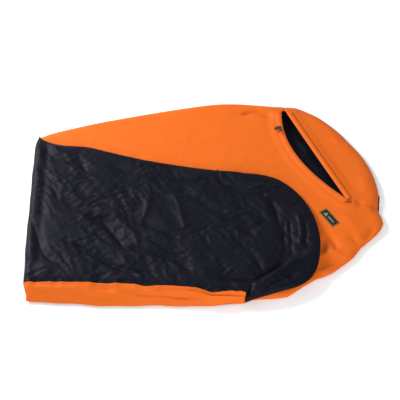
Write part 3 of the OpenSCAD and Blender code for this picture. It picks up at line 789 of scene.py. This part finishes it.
def shell_fabric():
    """Orange waterproof laminate: plain weave with a fine ripstop grid, a soft sheen and slight mottling."""
    s = Shader("orange_shell", roughness=0.62, sheen_weight=0.03, sheen_roughness=0.4, specular_ior_level=0.12)
    place, base = s.place(), tuple(colours().shell)
    weave = woven(s, place, 0.0007, SKEW)
    grid = s.scaled(place, (1, 1, 1), SKEW)
    rip = (s.wave(grid, bands(0.005), "X") > 0.985) + (s.wave(grid, bands(0.005), "Y") > 0.985)
    mottle = s.noise(place, 9.0, 4.0, 0.6)
    tone = s.mix(mottle, shade(base, 0.93), shade(base, 1.04))
    s.set("Base Color", s.mix(rip * 0.07, tone, shade(base, 0.75)))
    s.set("Roughness", 0.55 + 0.14 * mottle)
    s.bump(weave * 0.5 + rip * 0.4 + s.noise(place, 160.0, 2.0) * 0.6, 0.22, 0.0004)
    return s.material


def floor_fabric():
    """Black coated taffeta: close weave, a gloss that changes a little over the cloth, and scuffs."""
    s = Shader("black_floor", roughness=0.42, specular_ior_level=0.055)
    place, base = s.place(), tuple(colours().floor)
    scuff = s.noise(place, 22.0, 5.0, 0.65)
    mottle = s.noise(place, 6.0, 3.0)
    s.set("Base Color", s.mix(scuff, shade(base, 0.75), shade(base, 1.6)))
    s.set("Roughness", 0.41 + 0.08 * mottle + 0.10 * scuff)
    s.bump(woven(s, place, 0.0006, -SKEW) * 0.35 + s.noise(place, 70.0, 4.0, 0.6) * 1.3, 0.35, 0.0006)
    return s.material


def yarn(name, colour, twist):
    """Twisted thread or braid, with its lay as slanted ribs, and painted shade: the colour is darker in the
    grooves between the ribs.
    """
    s = Shader(name, roughness=0.65, sheen_weight=0.05, specular_ior_level=0.2)
    place = s.place()
    rib = s.wave(s.scaled(place, (1, 1, 1), 0.7), twist, "DIAGONAL")
    # painted shade: the base colour is darker in the grooves between the ribs, where the bump is low
    s.set("Base Color", s.mix(rib, shade(colour, 0.6), shade(colour, 1.08)))
    s.set("Roughness", 0.72 - 0.2 * rib)
    s.bump(rib, 0.5, 0.0003)
    return s.material


def tape_film():
    """Seam tape: clear film with a faint knit, dark over the dark cloth."""
    s = Shader("seam_tape", roughness=0.50, specular_ior_level=0.06)
    place = s.place()
    knit = woven(s, place, 0.0012, 0.5)
    s.set("Base Color", s.mix(knit, (0.0030, 0.0031, 0.0060), (0.0045, 0.0047, 0.0080)))
    s.set("Roughness", 0.46 + 0.12 * s.noise(place, 60.0))
    s.bump(knit, 0.2, 0.0002)
    return s.material


def moulded_plastic():
    """Black moulded plastic with a fine spark-eroded grain."""
    s = Shader("lock_plastic", roughness=0.45, specular_ior_level=0.45)
    place = s.place()
    grain = s.noise(place, 1500.0, 2.0)
    s.set("Base Color", s.mix(grain, (0.006, 0.006, 0.007), (0.011, 0.011, 0.012)))
    s.set("Roughness", 0.40 + 0.16 * grain)
    s.bump(grain, 0.2, 0.0001)
    return s.material


def metal(name, colour, rough):
    """Plated or drawn metal with fine drawing lines."""
    s = Shader(name, metallic=1.0, roughness=rough)
    place = s.place()
    line = s.noise(s.scaled(place, (3000, 300, 300)), 1.0, 3.0)
    s.set("Base Color", s.mix(line, shade(colour, 0.8), shade(colour, 1.15)))
    s.set("Roughness", rough - 0.06 + 0.14 * line)
    return s.material


def label_weave():
    """Damask label: dark ground with a pale woven border and a plain geometric mark, in label coordinates, with
    painted shade darkening the grooves between the woven ribs.
    """
    s = Shader("label_weave", roughness=0.6, sheen_weight=0.03, specular_ior_level=0.15)
    uv = s.node("ShaderNodeUVMap", {"uv_map": "label"})
    u, v = s.part(uv, 0), s.part(uv, 1)
    ax, ay = abs(u - 0.5), abs(v - 0.5)
    frame_line = (((ax > 0.455) + (ay > 0.40)) > 0.5) * ((ax < 0.480) * (ay < 0.46))
    peak = (v - 0.30 > 0.0) * (v - 0.30 < 0.42 - 3.6 * abs(u - 0.27))
    bars = (abs(u - 0.63) < 0.20) * (((abs(v - 0.40) < 0.03) + (abs(v - 0.52) < 0.03)) > 0.5)
    mark = ((frame_line + peak + bars) > 0.5) * 1.0
    rib = s.wave(s.place(), bands(0.0005), "X")
    dark, pale = tuple(colours().label), tuple(colours().label_edge)
    # painted shade: ground and border are darker in the grooves between the woven ribs, where the bump is low
    ground = s.mix(rib, shade(dark, 0.8), shade(dark, 1.3))
    s.set("Base Color", s.mix(mark, ground, s.mix(rib, shade(pale, 0.8), pale)))
    s.set("Roughness", 0.6 - 0.12 * rib)
    s.bump(rib * 0.4 + mark * 0.7, 0.5, 0.0002)
    return s.material


class Kit:
    """Materials and layers, made once and shared by the operators."""

    found = {}

    @classmethod
    def get(cls, key, maker):
        if key not in cls.found:
            cls.found[key] = maker()
        return cls.found[key]


def shell():
    return Kit.get("shell", shell_fabric)


def black():
    return Kit.get("black", floor_fabric)


def thread(black_thread=False):
    name, colour = "thread", (0.50, 0.088, 0.006)
    if black_thread:
        name, colour = "thread_black", (0.012, 0.012, 0.015)
    return Kit.get(name, lambda: yarn(name, colour, 900.0))


def layers():
    return Kit.get("layers", lambda: Heights(Plan()))


# ---- Small makers ----


def stitches(name, line, material, pitch=None, thick=0.00035, rise=0.0003, gap=0.35):
    """A row of stitches laid along a line of points in space."""
    pitch = pitch or sizes().stitch_pitch
    path = resample(line, pitch)
    cloth = Cloth()
    for a, b in zip(path[:-1], path[1:]):
        length = np.linalg.norm(b - a)
        way = (b - a) / length
        side = np.cross(way, (0, 0, 1.0))
        side /= max(np.linalg.norm(side), 1e-9)
        up = np.cross(side, way)
        start, end = a + way * length * gap / 2, b - way * length * gap / 2
        rings = []
        for f, lift, wide in (
            (0, -0.4, 0.45), (0.2, 0.7, 0.95), (0.5, 1.0, 1.0), (0.8, 0.7, 0.95), (1, -0.4, 0.45),
        ):
            centre = start + (end - start) * f + up * rise * lift
            rings.append([centre + thick * wide * (math.cos(k) * side + math.sin(k) * up)
                          for k in np.linspace(0, 2 * math.pi, 6, endpoint=False)])
        base = len(cloth.points)
        cloth.points = np.vstack([cloth.points, np.array(rings).reshape(-1, 3)])
        for r in range(4):
            for k in range(6):
                n = (k + 1) % 6
                row = base + r * 6
                cloth.faces.append((row + k, row + n, row + 6 + n, row + 6 + k))
        cloth.faces.append(tuple(base + k for k in range(5, -1, -1)))
        cloth.faces.append(tuple(base + 24 + k for k in range(6)))
    return make(name, cloth, material, weld=1e-7)


def sew(name, line, body, *nodes, dark=False, **how):
    """A row of stitches that rides on a body."""
    return carry(stitches(name, line, thread(dark), **how), body, "thread", *nodes)


def swept(name, path, profile, material):
    """A solid band whose closed profile, as (sideways, up) points, follows a path of (x, y, z) points."""
    path = np.array(path, float)
    way = np.gradient(path[:, :2], axis=0)
    way /= np.maximum(np.linalg.norm(way, axis=1), 1e-9)[:, None]
    side = np.stack([way[:, 1], -way[:, 0]], 1)
    rows = [np.column_stack([path[:, :2] + side * out, path[:, 2] + up]) for out, up in profile]
    band, n, m = strip(rows + rows[:1]), len(path), len(profile)
    band.faces.append(tuple(j * n for j in range(m)))
    band.faces.append(tuple(j * n + n - 1 for j in range(m - 1, -1, -1)))
    return make(name, band, material)


def cord_along(name, points, material):
    """A length of drawcord along a line of points."""
    data = bpy.data.curves.new(name, "CURVE")
    data.dimensions, data.bevel_depth, data.bevel_resolution = "3D", sizes().cord_diameter / 2, 4
    data.use_fill_caps = True
    spline = data.splines.new("POLY")
    spline.points.add(len(points) - 1)
    for p, at in zip(spline.points, points):
        p.co = (*at, 1)
    data.materials.append(material)
    return link(name, data)


def finish(data, material):
    data.materials.clear()
    data.materials.append(material)


def spring_wire():
    """The spring: a copy of the CAD coil in spring steel, riding on the cord lock in place of the CAD spring."""
    coil, press = frame["nodes"]["lock_spring"], JOINTS["plunger_press"]
    obj = link("lock_spring_wire", coil.data.copy())
    obj.matrix_world = coil.matrix_world.copy()
    finish(obj.data, metal("spring_steel", (0.50, 0.50, 0.52), 0.30))
    way = Vector(press["axis"])
    points = [coil.matrix_world @ v.co for v in coil.data.vertices]
    along = [p.dot(way) for p in points]
    length, end = max(along) - min(along), points[along.index(max(along))]
    carry(obj, "cord_lock", "spring_steel", "lock_spring")
    1 - press["range_m"][1] / length
    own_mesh(obj)
    return obj


# ---- Operators ----


class BIVY_OT_camera(bpy.types.Operator):
    """Sets the camera above the near side of the sack"""

    bl_idname = "bivy.camera"
    bl_label = "Camera"

    def execute(self, context):
        studio = context.scene.bivy_studio
        data = bpy.data.cameras.new("camera")
        data.lens, data.sensor_width = studio.lens, 36
        data.shift_x, data.shift_y = -0.01, 0.0175
        cam = link("camera", data)
        back = Vector((0, -math.cos(studio.elevation), math.sin(studio.elevation)))
        target = Vector((0, -0.0476, 0.03))
        cam.location = target + back * studio.distance
        cam.rotation_mode = "QUATERNION"
        cam.rotation_quaternion = (-back).to_track_quat("-Z", "Y")
        data.clip_end = 50
        context.scene.camera = cam
        return {"FINISHED"}


class BIVY_OT_cord(bpy.types.Operator):
    """Makes the drawcord's free tail with its knot, and the cord inside the hem"""

    bl_idname = "bivy.cord"
    bl_label = "Drawcord"

    route = ((0, 0), (0, 0.3), (0.5, 0.58), (1.6, 0.82), (3.2, 0.96), (5.2, 1), (8, 1), (13, 1), (18, 1),
             (23, 1), (28, 1), (33, 1))

    def execute(self, context):
        braid = yarn("cord", (0.55, 0.085, 0.012), 420.0)
        low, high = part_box("cord_eyelet")
        eyelet = ((low[0] + high[0]) / 2, (low[1] + high[1]) / 2)
        way = JOINTS["lock_slide"]["axis"]
        knot_low, knot_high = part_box("tail_knot")
        rise = (knot_low[2] + knot_high[2]) / 2 - HEM_TOP
        points = [(eyelet[0] + way[0] * run / 1000, eyelet[1] + way[1] * run / 1000, HEM_TOP + share * rise)
                  for run, share in self.route]
        fine = curve_through(points, 60)
        tail = carry(cord_along("drawcord_tail_braid", fine, braid), "head_half", "cord", "drawcord_tail")
        knot = self.knot(braid, Vector([(a + b) / 2 for a, b in zip(knot_low, knot_high)]), Vector(way))
        spring_wire()
        self.inside(braid, eyelet)
        return {"FINISHED"}

    def knot(self, braid, centre, way):
        """An overhand knot drawn tight: a short trefoil of the same cord."""
        across, up = way.cross((0, 0, 1)).normalized(), Vector((0, 0, 1))
        points = []
        for a in np.linspace(0, 2 * math.pi, 60):
            u = (math.sin(a) + 1.7 * math.sin(2 * a)) * 0.00075
            v = (math.cos(a) - 1.7 * math.cos(2 * a)) * 0.00075
            w = -math.sin(3 * a) * 0.0011
            points.append(tuple(centre + way * w + across * u + up * v))
        return carry(cord_along("tail_knot_braid", points, braid), "head_half", "cord", "tail_knot")

    def inside(self, braid, eyelet):
        """The cord in the hem, from the eyelet round the opening's inner end."""
        lay = layers()
        half = sizes().hem_width / 2
        low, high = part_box("drawcord")
        z = (low[2] + high[2]) / 2
        down = offset(lay.chest_edge, -half)
        start = closest(down, eyelet)
        up = offset(lay.hood_edge[::-1], -half)
        inner = lay.chest_edge[-1]
        a0 = math.atan2(*(down[-1] - inner)[::-1])
        a1 = math.atan2(*(up[0] - inner)[::-1])
        a1 += 2 * math.pi if a1 < a0 else 0
        turn = np.array([inner + half * np.array([math.cos(a), math.sin(a)])
                         for a in np.linspace(a0, a1, 12)[1:-1]])
        path = np.vstack([down[start + 1:], turn, up])
        carry(cord_along("drawcord_braid", with_z(path, z), braid), "head_half", "cord", "drawcord")


class BIVY_OT_floor(bpy.types.Operator):
    """Makes the black floor, in one piece round the fold, and the foot cap"""

    bl_idname = "bivy.floor"
    bl_label = "Floor and foot cap"

    def execute(self, context):
        lay, step = layers(), sizes().mesh_step
        plan = lay.plan
        rounds = [lay.fold_round * (1 - math.cos(a)) for a in np.radians((12, 24, 36, 48, 60, 72, 84))]
        far = lay.foot_far[:lay.cap_start + 1]
        count = 110
        fold_line = np.linspace(lay.floor_seam[0], far[0], count)[1:-1]
        top_loop = np.vstack([far, lay.cap_seam[1:], lay.floor_seam[::-1][1:], fold_line])
        across = across_fold(rounds, lay.floor_seam[0][1], far[0][1], count)
        top = region(top_loop, step * 0.68, [(far, EDGE_ROWS)] + across, lay.foot_top, 2)
        head_far = resample(plan.place(plan.head_side(1, 0.006) + self.hood_floor(plan), 1), step)
        head_near = resample(plan.place(plan.head_side(-1, 0.045), 1), step)
        ground_loop = np.vstack([head_far, head_near[::-1][1:], fold_line])
        ground_loop[0] = far[0]
        ground_loop[len(head_far) - 1 + len(head_near) - 1] = lay.floor_seam[0]
        ground = region(ground_loop, step * 1.6, across, self.ground, 3)
        top.points = lay.close(top.points)
        ground.points = lay.close(ground.points)
        floor = make("floor_panel", top.add(ground), black(), thick=sizes().cloth)
        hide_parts("foot_floor", "head_floor")
        FOLD_Z - 0.002
        FOLD_Z + 0.002
        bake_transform(floor)
        self.cap(lay, step)
        return {"FINISHED"}

    def ground(self, xy):
        """The floor on the ground, with loose folds where it shows through the face opening."""
        loose = smooth((xy[:, 0] - 0.20) / 0.10) * smooth((0.50 - xy[:, 0]) / 0.10)
        loose *= smooth((xy[:, 1] + 0.15) / 0.10) * smooth((0.36 - xy[:, 1]) / 0.08)
        folds = crumple(xy, 31, 0.12, 0.035, -1.0, 0.0050, 0.04) + 0.004 * cloud(xy, 32, 0.09, 0.05, -0.9)
        return 0.0007 + 0.0004 * np.abs(cloud(xy, 6, 0.2, 0.1, 0.3)) + loose * np.clip(folds + 0.004, 0, 0.012)

    def hood_floor(self, plan):
        """The floor's edge under the hood, which comes out from under it beside the hood seam."""
        points = []
        for a in np.linspace(90, -90, 181)[1:]:
            out = float(smooth((-a) / 5) * smooth((a + 16) / 3))
            points += plan.hood_round(a, a, 0.010 - 0.015 * out, steps=1)
        return points

    def cap(self, lay, step):
        """The foot cap, with its top, its wall and its underside, and the stitches beside its seam."""
        edge = np.vstack([lay.foot_far[lay.cap_start:], lay.foot_cap_edge[-1:]])
        near = np.linspace(edge[-1], lay.floor_seam[-1], 9)[1:]
        loop = np.vstack([edge, near, lay.cap_seam[::-1][1:-1]])
        dense = [(edge, EDGE_ROWS), (lay.cap_seam, (0.0008, 0.0025, 0.005))]

        def top_height(xy):
            z = lay.foot_top(xy)
            beside = distance(xy, np.vstack([edge[-30:], near]))
            droop = smooth((0.24 - xy[:, 0]) / 0.12) * (1 - smooth(beside / 0.05))
            return np.minimum(z - 0.012 * droop, FOLDED_H - 0.001)

        top = region(loop, step * 0.68, dense, top_height, 4)
        under = region(loop, step * 1.5, [(edge, (0.004,))], lambda xy: lay.foot_under(xy) + 0.0004, 5)
        upper_z, lower_z = top_height(edge), lay.foot_under(edge) + 0.0004
        out = offset(edge, 1) - edge
        wall = strip([with_z(edge + out * -0.0015 * math.sin(math.pi * f), upper_z + (lower_z - upper_z) * f)
                      for f in np.linspace(0, 1, 7)])
        cap = make("foot_cap_cloth", top.add(under).add(wall), black(), thick=sizes().cloth)
        carry(cap, "foot_half", "black_floor", "foot_cap")
        for end, shift in (("a", -0.0030), ("b", 0.0030)):
            xy = offset(lay.cap_seam, shift)
            z = np.minimum(lay.foot_top(xy), FOLDED_H - 0.001) + sizes().cloth / 2
            sew("cap_seam_stitches_" + end, with_z(xy, z), "foot_half", dark=True)


class BIVY_OT_foot_upper(bpy.types.Operator):
    """Makes the orange fabric of the foot half: the side under the legs and the strip up to the floor seam"""

    bl_idname = "bivy.foot_upper"
    bl_label = "Foot half upper"

    stitch_at = 0.08

    def execute(self, context):
        lay, step = layers(), sizes().mesh_step
        far = lay.foot_far[:lay.cap_start + 1]
        near = lay.foot_near
        fold_line = np.linspace(near[0], far[0], 90)[1:-1]
        end = np.linspace(lay.floor_seam[-1], near[-1], 6)[1:]
        loop = np.vstack([far, lay.cap_seam[1:], end, near[::-1][1:], fold_line])
        across = across_fold(FOLD_ROWS, near[0][1], far[0][1], 60)
        under = region(loop, step * 1.3, across, lay.foot_under, 7)
        seam = self.spread(with_z(lay.floor_seam, lay.foot_top(lay.floor_seam)))
        outer = self.spread(with_z(near, lay.foot_under(near)))
        band = strip([self.row(seam, outer, p) for p in np.linspace(0, 1, 25)])
        top_z, low_z = lay.foot_top(far), lay.foot_under(far)
        side = strip([with_z(far, top_z), with_z(far, (top_z + low_z) / 2), with_z(far, low_z)])
        cloth = under.add(band).add(side)
        cloth.points = lay.close(cloth.points)
        obj = make("foot_upper_cloth", cloth, shell(), thick=sizes().cloth)
        carry(obj, "foot_half", "orange_shell", "foot_upper")
        stitched = self.plain_row(seam, outer, self.stitch_at) + (0, 0, 0.0005)
        sew("floor_seam_stitches", lay.close(stitched), "foot_half")
        return {"FINISHED"}

    def spread(self, line, count=170):
        """A line with one count of points, so that two lines can be joined by rows."""
        at = np.linspace(0, 1, len(line))
        return np.stack([np.interp(np.linspace(0, 1, count), at, line[:, k]) for k in range(3)], 1)

    def plain_row(self, seam, outer, p):
        """The strip's row at a share of the way from the floor seam to the outer edge, bulging a little."""
        xy = seam[:, :2] + (outer[:, :2] - seam[:, :2]) * p
        return with_z(xy, seam[:, 2] + (outer[:, 2] - seam[:, 2]) * p ** 1.25 + 0.0028 * math.sin(math.pi * p))

    def row(self, seam, outer, p):
        """The same with its long wrinkles."""
        row = self.plain_row(seam, outer, p)
        flat = np.column_stack([row[:, 0], np.full(len(row), p * 0.09)])
        loose = math.sin(math.pi * min(1, p * 1.25)) * (0.35 + 0.65 * smooth((row[:, 0] + 0.50) / 0.30))
        row[:, 2] += loose * (0.0115 * cloud(flat, 21, 0.17, 0.026, 0.07)
                              + crumple(flat, 22, 0.12, 0.03, 0.12, 0.0038))
        return row


class BIVY_OT_head_upper(bpy.types.Operator):
    """Makes the orange chest panel and the hood on either side of the face opening"""

    bl_idname = "bivy.head_upper"
    bl_label = "Chest panel and hood"

    def execute(self, context):
        lay, step = layers(), sizes().mesh_step
        plan = lay.plan
        outer = resample(plan.place(plan.hood_round(90, -90, steps=200), 1), step)
        corner = lay.chest_edge[0], lay.hood_edge[0]
        cut = closest(outer, (corner[0] + corner[1]) / 2)
        end = closest(outer, plan.seam_end())
        far = resample(plan.place(plan.head_side(1), 1), step)
        near = resample(plan.place(self.pulled(plan), 1), step)
        seam = np.linspace(lay.chest_edge[-1], outer[end], 20)
        rim = np.vstack([far[:-1], outer[:cut + 1]])
        rim_b = np.vstack([outer[end:], near[::-1][1:]])
        fold_line = np.linspace(near[0], far[0], 80)[1:-1]
        short = np.linspace(outer[cut], (corner[0] + corner[1]) / 2, 4)
        chest_loop = np.vstack([rim, short[1:-1], lay.chest_edge, seam[1:-1], rim_b, fold_line])
        roll = (*EDGE_ROWS, 0.025)
        dense = [(rim, roll), (rim_b[:len(outer) - end], roll), (lay.chest_edge, HEM_ROWS)]
        dense += across_fold(FOLD_ROWS, near[0][1], far[0][1], 60)
        chest = region(chest_loop, step, dense, lay.head_top, 9)
        chest.add(self.under(lay, rim)).add(self.under(lay, rim_b, 0.022))
        chest.points = lay.close(chest.points)
        hood_rim = outer[cut:end + 1]
        hood_loop = np.vstack([hood_rim, seam[::-1][1:-1], lay.hood_edge[::-1], short[::-1][1:-1]])
        hood = region(hood_loop, step, [(hood_rim, roll), (lay.hood_edge, HEM_ROWS)], lay.head_top, 10)
        hood.add(self.under(lay, hood_rim))
        for name, cloth, node, flat, area in (
            ("head_upper_cloth", chest, "head_upper", (0.95, 1.12), 0.88),
            ("hood_cloth", hood, "hood", (0.24, 0.62), 0.076),
        ):
            obj = carry(make(name, cloth, shell(), thick=sizes().cloth), "head_half", "orange_shell", node)
        self.seam(lay, seam)
        return {"FINISHED"}

    def pulled(self, plan):
        """The near side, drawn in a little under the foot half's strip."""
        return [(s, t + float(smooth(s / 0.12)) * (0.009 + 0.003 * float(smooth((s - 0.4) / 0.25))))
                for s, t in plan.head_side(-1)]

    def under(self, lay, rim, inward=0.009):
        """The edge that turns under to the floor seam."""
        z, low = lay.head_top(rim), lay.turned_under
        way = offset(rim, 1) - rim
        rows = [with_z(rim - way * inward * (1 - math.cos(a)), z + (low - z) * math.sin(a))
                for a in np.radians(np.linspace(0, 90, 7))]
        return strip(rows + [with_z(rim - way * (inward + 0.003), low)])

    def seam(self, lay, seam):
        """The seam between the hood and the chest panel, with its stitches."""
        way = unit(seam[-1] - seam[0])
        xy = resample(np.vstack([seam[0] + way * sizes().hem_width, seam[-1] - way * 0.004]), 0.003)
        path = with_z(xy, lay.head_top(xy) + 0.0003)
        profile = [(-0.005, -0.0004), (-0.0047, 0.0006), (0, 0.0009), (0.0047, 0.0006), (0.005, -0.0004)]
        obj = carry(swept("hood_seam_cloth", path, profile, shell()), "head_half", "orange_shell", "hood_seam")
        for k, shift in enumerate((-0.0035, 0.0035)):
            sew(f"hood_seam_stitches_{k}", with_z(offset(xy, shift), lay.head_top(xy) + 0.0011), "head_half")


class BIVY_OT_hem(bpy.types.Operator):
    """Makes the drawcord hem round the face opening, its stitching and its bar tacks"""

    bl_idname = "bivy.hem"
    bl_label = "Face hem"

    profile = ((0.0, -0.0012), (-0.0012, 0.0006), (-0.0006, 0.0026), (0.0020, 0.0040), (0.0060, 0.0047),
               (0.0100, 0.00475), (0.0135, 0.0043), (0.0160, 0.0028), (0.0175, 0.0014), (0.0200, 0.0007),
               (0.0204, 0.0001), (0.0170, -0.0003), (0.0080, -0.0006), (0.0030, -0.0010))

    def execute(self, context):
        lay = layers()
        path = self.path(lay)
        obj = swept("face_hem_cloth", with_z(path, LYING_H - 0.0003),
                    [(out, up * self.rise()) for out, up in self.profile], shell())
        carry(obj, "head_half", "orange_shell", "face_hem")
        for name, out, up in (("hem_stitches_outer", 0.0182, 0.0012), ("hem_stitches_inner", 0.0165, 0.0026)):
            side = offset(path, -out)
            keep = distance(side, path) > out * 0.9
            sew(name, with_z(side[keep], LYING_H + up - 0.0001), "head_half")
        self.tacks(lay)
        return {"FINISHED"}

    def rise(self):
        """Scale that brings the profile's crest to the top of the hem."""
        return (HEM_TOP - LYING_H + 0.0003) / max(up for out, up in self.profile)

    def path(self, lay):
        """Down the chest edge, round the inner end and up the hood edge, with room between the two sides."""
        inner = lay.chest_edge[-1]
        down, up = lay.chest_edge[:-1], lay.hood_edge[::-1][1:]
        return resample(np.vstack([down, inner, up]), 0.004)

    def tacks(self, lay):
        """A zigzag of close stitches across each end of the hem."""
        half = sizes().hem_width / 2
        places = []
        for edge, side in ((lay.chest_edge, -1), (lay.hood_edge, 1)):
            i = max(1, round(0.03 * len(edge)))
            way = unit(edge[i + 1] - edge[i - 1])
            normal = np.array([-way[1], way[0]]) * side
            places.append((edge[i] + half * normal, normal))
        way = unit(np.array(lay.plan.seam_end()) - lay.chest_edge[-1])
        places.append((lay.chest_edge[-1] + half * way, way))
        for k, (centre, normal) in enumerate(places):
            along = np.array([-normal[1], normal[0]])
            line = [centre + normal * (i / 30 - 0.5) * 0.012 + along * (0.001 if i % 2 else -0.001)
                    for i in range(31)]
            sew(f"bar_tack_{k}", with_z(np.array(line), HEM_TOP + 0.0003), "head_half",
                *(["bar_tacks"] if k == 0 else []), pitch=0.002, gap=0.02)


class BIVY_OT_label(bpy.types.Operator):
    """Makes the woven label on the hood, with a plain mark"""

    bl_idname = "bivy.label"
    bl_label = "Label"

    size = (0.076, 0.030)

    def execute(self, context):
        lay = layers()
        low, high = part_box("label")
        centre = np.array([(low[0] + high[0]) / 2, (low[1] + high[1]) / 2])
        turn = SKEW - math.radians(64)
        along = np.array([math.cos(turn), math.sin(turn)])
        across = np.array([-along[1], along[0]])
        columns, rows = 60, 24
        points, uv = [], []
        for j in range(rows + 1):
            for i in range(columns + 1):
                u, v = i / columns, j / rows
                points.append(centre + along * (u - 0.5) * self.size[0] + across * (v - 0.5) * self.size[1])
                uv.append((u, v))
        points, uv = np.array(points), np.array(uv)
        border = np.minimum(np.minimum(uv[:, 0], 1 - uv[:, 0]) * 76, np.minimum(uv[:, 1], 1 - uv[:, 1]) * 30)
        z = lay.head_top(points) + 0.0004 + 0.0007 * smooth(border / 4)
        z = z - 0.0003 * np.exp(-((border - 2) / 0.6) ** 2)
        n = columns + 1
        faces = [(j * n + i, j * n + i + 1, (j + 1) * n + i + 1, (j + 1) * n + i)
                 for j in range(rows) for i in range(columns)]
        obj = make("label_cloth", Cloth(with_z(points, z), faces), label_weave(), weld=1e-7)
        layer = obj.data.uv_layers.new(name="label")
        where = {tuple(np.round(p, 7)): k for k, p in enumerate(with_z(points, z))}
        for loop in obj.data.loops:
            co = np.array(obj.data.vertices[loop.vertex_index].co)
            k = where.get(tuple(np.round(co, 7)))
            if k is None:
                k = int(np.argmin(np.linalg.norm(points - co[:2], axis=1)))
            layer.data[loop.index].uv = uv[k]
        thicken(obj, 0.0004)
        carry(obj, "head_half", "label_weave", "label")
        inset = 0.0018
        corners = [(-1, -1), (1, -1), (1, 1), (-1, 1), (-1, -1)]
        line = np.array([centre + along * a * (self.size[0] / 2 - inset) + across * b * (self.size[1] / 2 - inset)
                         for a, b in corners])
        line = np.vstack([resample(line[i:i + 2], 0.002)[:-1] for i in range(4)])
        sew("label_stitches", with_z(line, lay.head_top(line) + 0.0011), "head_half", dark=True, pitch=0.0025)
        return {"FINISHED"}


class BIVY_OT_tapes(bpy.types.Operator):
    """Makes the tapes over the seams, inside the sack"""

    bl_idname = "bivy.tapes"
    bl_label = "Seam tapes"

    def execute(self, context):
        lay = layers()
        plan, film = lay.plan, tape_film()
        profile = [(-0.010, 0.0), (-0.004, 0.0002), (0.004, 0.0002), (0.010, 0.0), (0.004, -0.0001),
                   (-0.004, -0.0001)]
        head = plan.head_side(1, 0.022)[4:] + plan.hood_round(90, -90, 0.021)[1:]
        head += plan.head_side(-1, 0.058)[::-1][1:-4]
        tapes = [("head_seam_tape_film", with_z(resample(plan.place(head, 1), 0.010), 0.0026),
                  "head_half", "head_seam_tape")]
        for name, line, *node in (
            ("foot_seam_tape_film_0", plan.side(plan.floor_near, -1, -1, 0.73, 0.013)[4:], "foot_seam_tape"),
            ("foot_seam_tape_film_1", plan.side(plan.foot_far, 1, -1, 0.60, 0.034)[4:]),
        ):
            tapes.append((name, self.beneath(lay, resample(plan.place(line, -1), 0.010)), "foot_half", *node))
        tapes.append(("cap_seam_tape_film", self.beneath(lay, resample(lay.cap_seam[10:-8], 0.008)),
                      "foot_half", "cap_seam_tape"))
        for name, path, body, *node in tapes:
            carry(swept(name, path, profile, film), body, "seam_tape", *node)
        return {"FINISHED"}

    def beneath(self, lay, xy):
        """Points just under the floor fabric, below its lowest part over the tape's width."""
        z = np.min([lay.foot_top(offset(xy, by)) for by in (-0.011, -0.005, 0, 0.005, 0.011)], axis=0)
        return with_z(xy, z - 0.0018)


class BIVY_OT_hardware(bpy.types.Operator):
    """Gives the cord lock and the eyelet their finishes"""

    bl_idname = "bivy.hardware"
    bl_label = "Lock and eyelet"

    def execute(self, context):
        plastic, plated = moulded_plastic(), metal("eyelet_metal", (0.08, 0.08, 0.085), 0.32)
        for node, material in (("lock_barrel", plastic), ("lock_plunger", plastic), ("cord_eyelet", plated)):
            finish(frame["nodes"][node].data, material)
        return {"FINISHED"}


class BIVY_OT_stage(bpy.types.Operator):
    """Lays a pale floor and sets soft lights"""

    bl_idname = "bivy.stage"
    bl_label = "Stage and lights"

    floor_z, sky_strength = -0.0005, 0.55

    def execute(self, context):
        s = Shader("stage_floor", roughness=0.9, specular_ior_level=0.1)
        place = s.place()
        s.set("Base Color", s.mix(s.noise(place, 2.0), (0.86, 0.86, 0.86), (0.90, 0.90, 0.90)))
        corners = [(x, y, self.floor_z) for x, y in ((-30, -30), (30, -30), (30, 30), (-30, 30))]
        floor = make("stage_floor", Cloth(corners, [(0, 1, 2, 3)]), s.material, smooth_shade=False)
        world = bpy.data.worlds.new("studio")
        world.use_nodes = True
        sky = world.node_tree.nodes["Background"].inputs
        sky[0].default_value, sky[1].default_value = (1, 1, 1, 1), self.sky_strength
        context.scene.world = world
        self.light("key", (-2.2, 1.5, 1.6), 1.1, 155)
        self.light("fill", (0.6, -2.6, 1.3), 2.2, 75)
        context.scene.view_settings.view_transform = "Standard"
        return {"FINISHED"}

    def light(self, name, place, size, power):
        data = bpy.data.lights.new(name, "AREA")
        data.shape, data.size, data.energy = "DISK", size, power
        obj = link(name, data)
        obj.location = place
        obj.rotation_mode = "QUATERNION"
        obj.rotation_quaternion = (-Vector(place)).to_track_quat("-Z", "Y")


class BIVY_PT_panel(bpy.types.Panel):
    """Lists the sack's pieces and sizes"""

    bl_label = "Bivy Sack"
    bl_idname = "BIVY_PT_panel"
    bl_space_type = "VIEW_3D"
    bl_region_type = "UI"
    bl_category = "Bivy Sack"

    def draw(self, context):
        layout = self.layout
        for piece in OPERATORS:
            layout.operator(piece.bl_idname)
        for group in (context.scene.bivy_sizes, context.scene.bivy_colours, context.scene.bivy_studio):
            box = layout.box()
            for name in group.__annotations__:
                box.prop(group, name)


OPERATORS = (
    BIVY_OT_camera, BIVY_OT_cord, BIVY_OT_floor, BIVY_OT_foot_upper, BIVY_OT_head_upper, BIVY_OT_hem,
    BIVY_OT_label, BIVY_OT_tapes, BIVY_OT_hardware, BIVY_OT_stage,
)
CLASSES = (SackSizes, SackColours, StudioSettings, *OPERATORS, BIVY_PT_panel)


def register():
    for cls in CLASSES:
        bpy.utils.register_class(cls)
    bpy.types.Scene.bivy_sizes = bpy.props.PointerProperty(type=SackSizes)
    bpy.types.Scene.bivy_colours = bpy.props.PointerProperty(type=SackColours)
    bpy.types.Scene.bivy_studio = bpy.props.PointerProperty(type=StudioSettings)


def unregister():
    del bpy.types.Scene.bivy_sizes, bpy.types.Scene.bivy_colours, bpy.types.Scene.bivy_studio
    for cls in reversed(CLASSES):
        bpy.utils.unregister_class(cls)


def main():
    register()
    for piece in OPERATORS:
        group, name = piece.bl_idname.split(".")
        getattr(getattr(bpy.ops, group), name)()


if __name__ == "__main__":
    main()
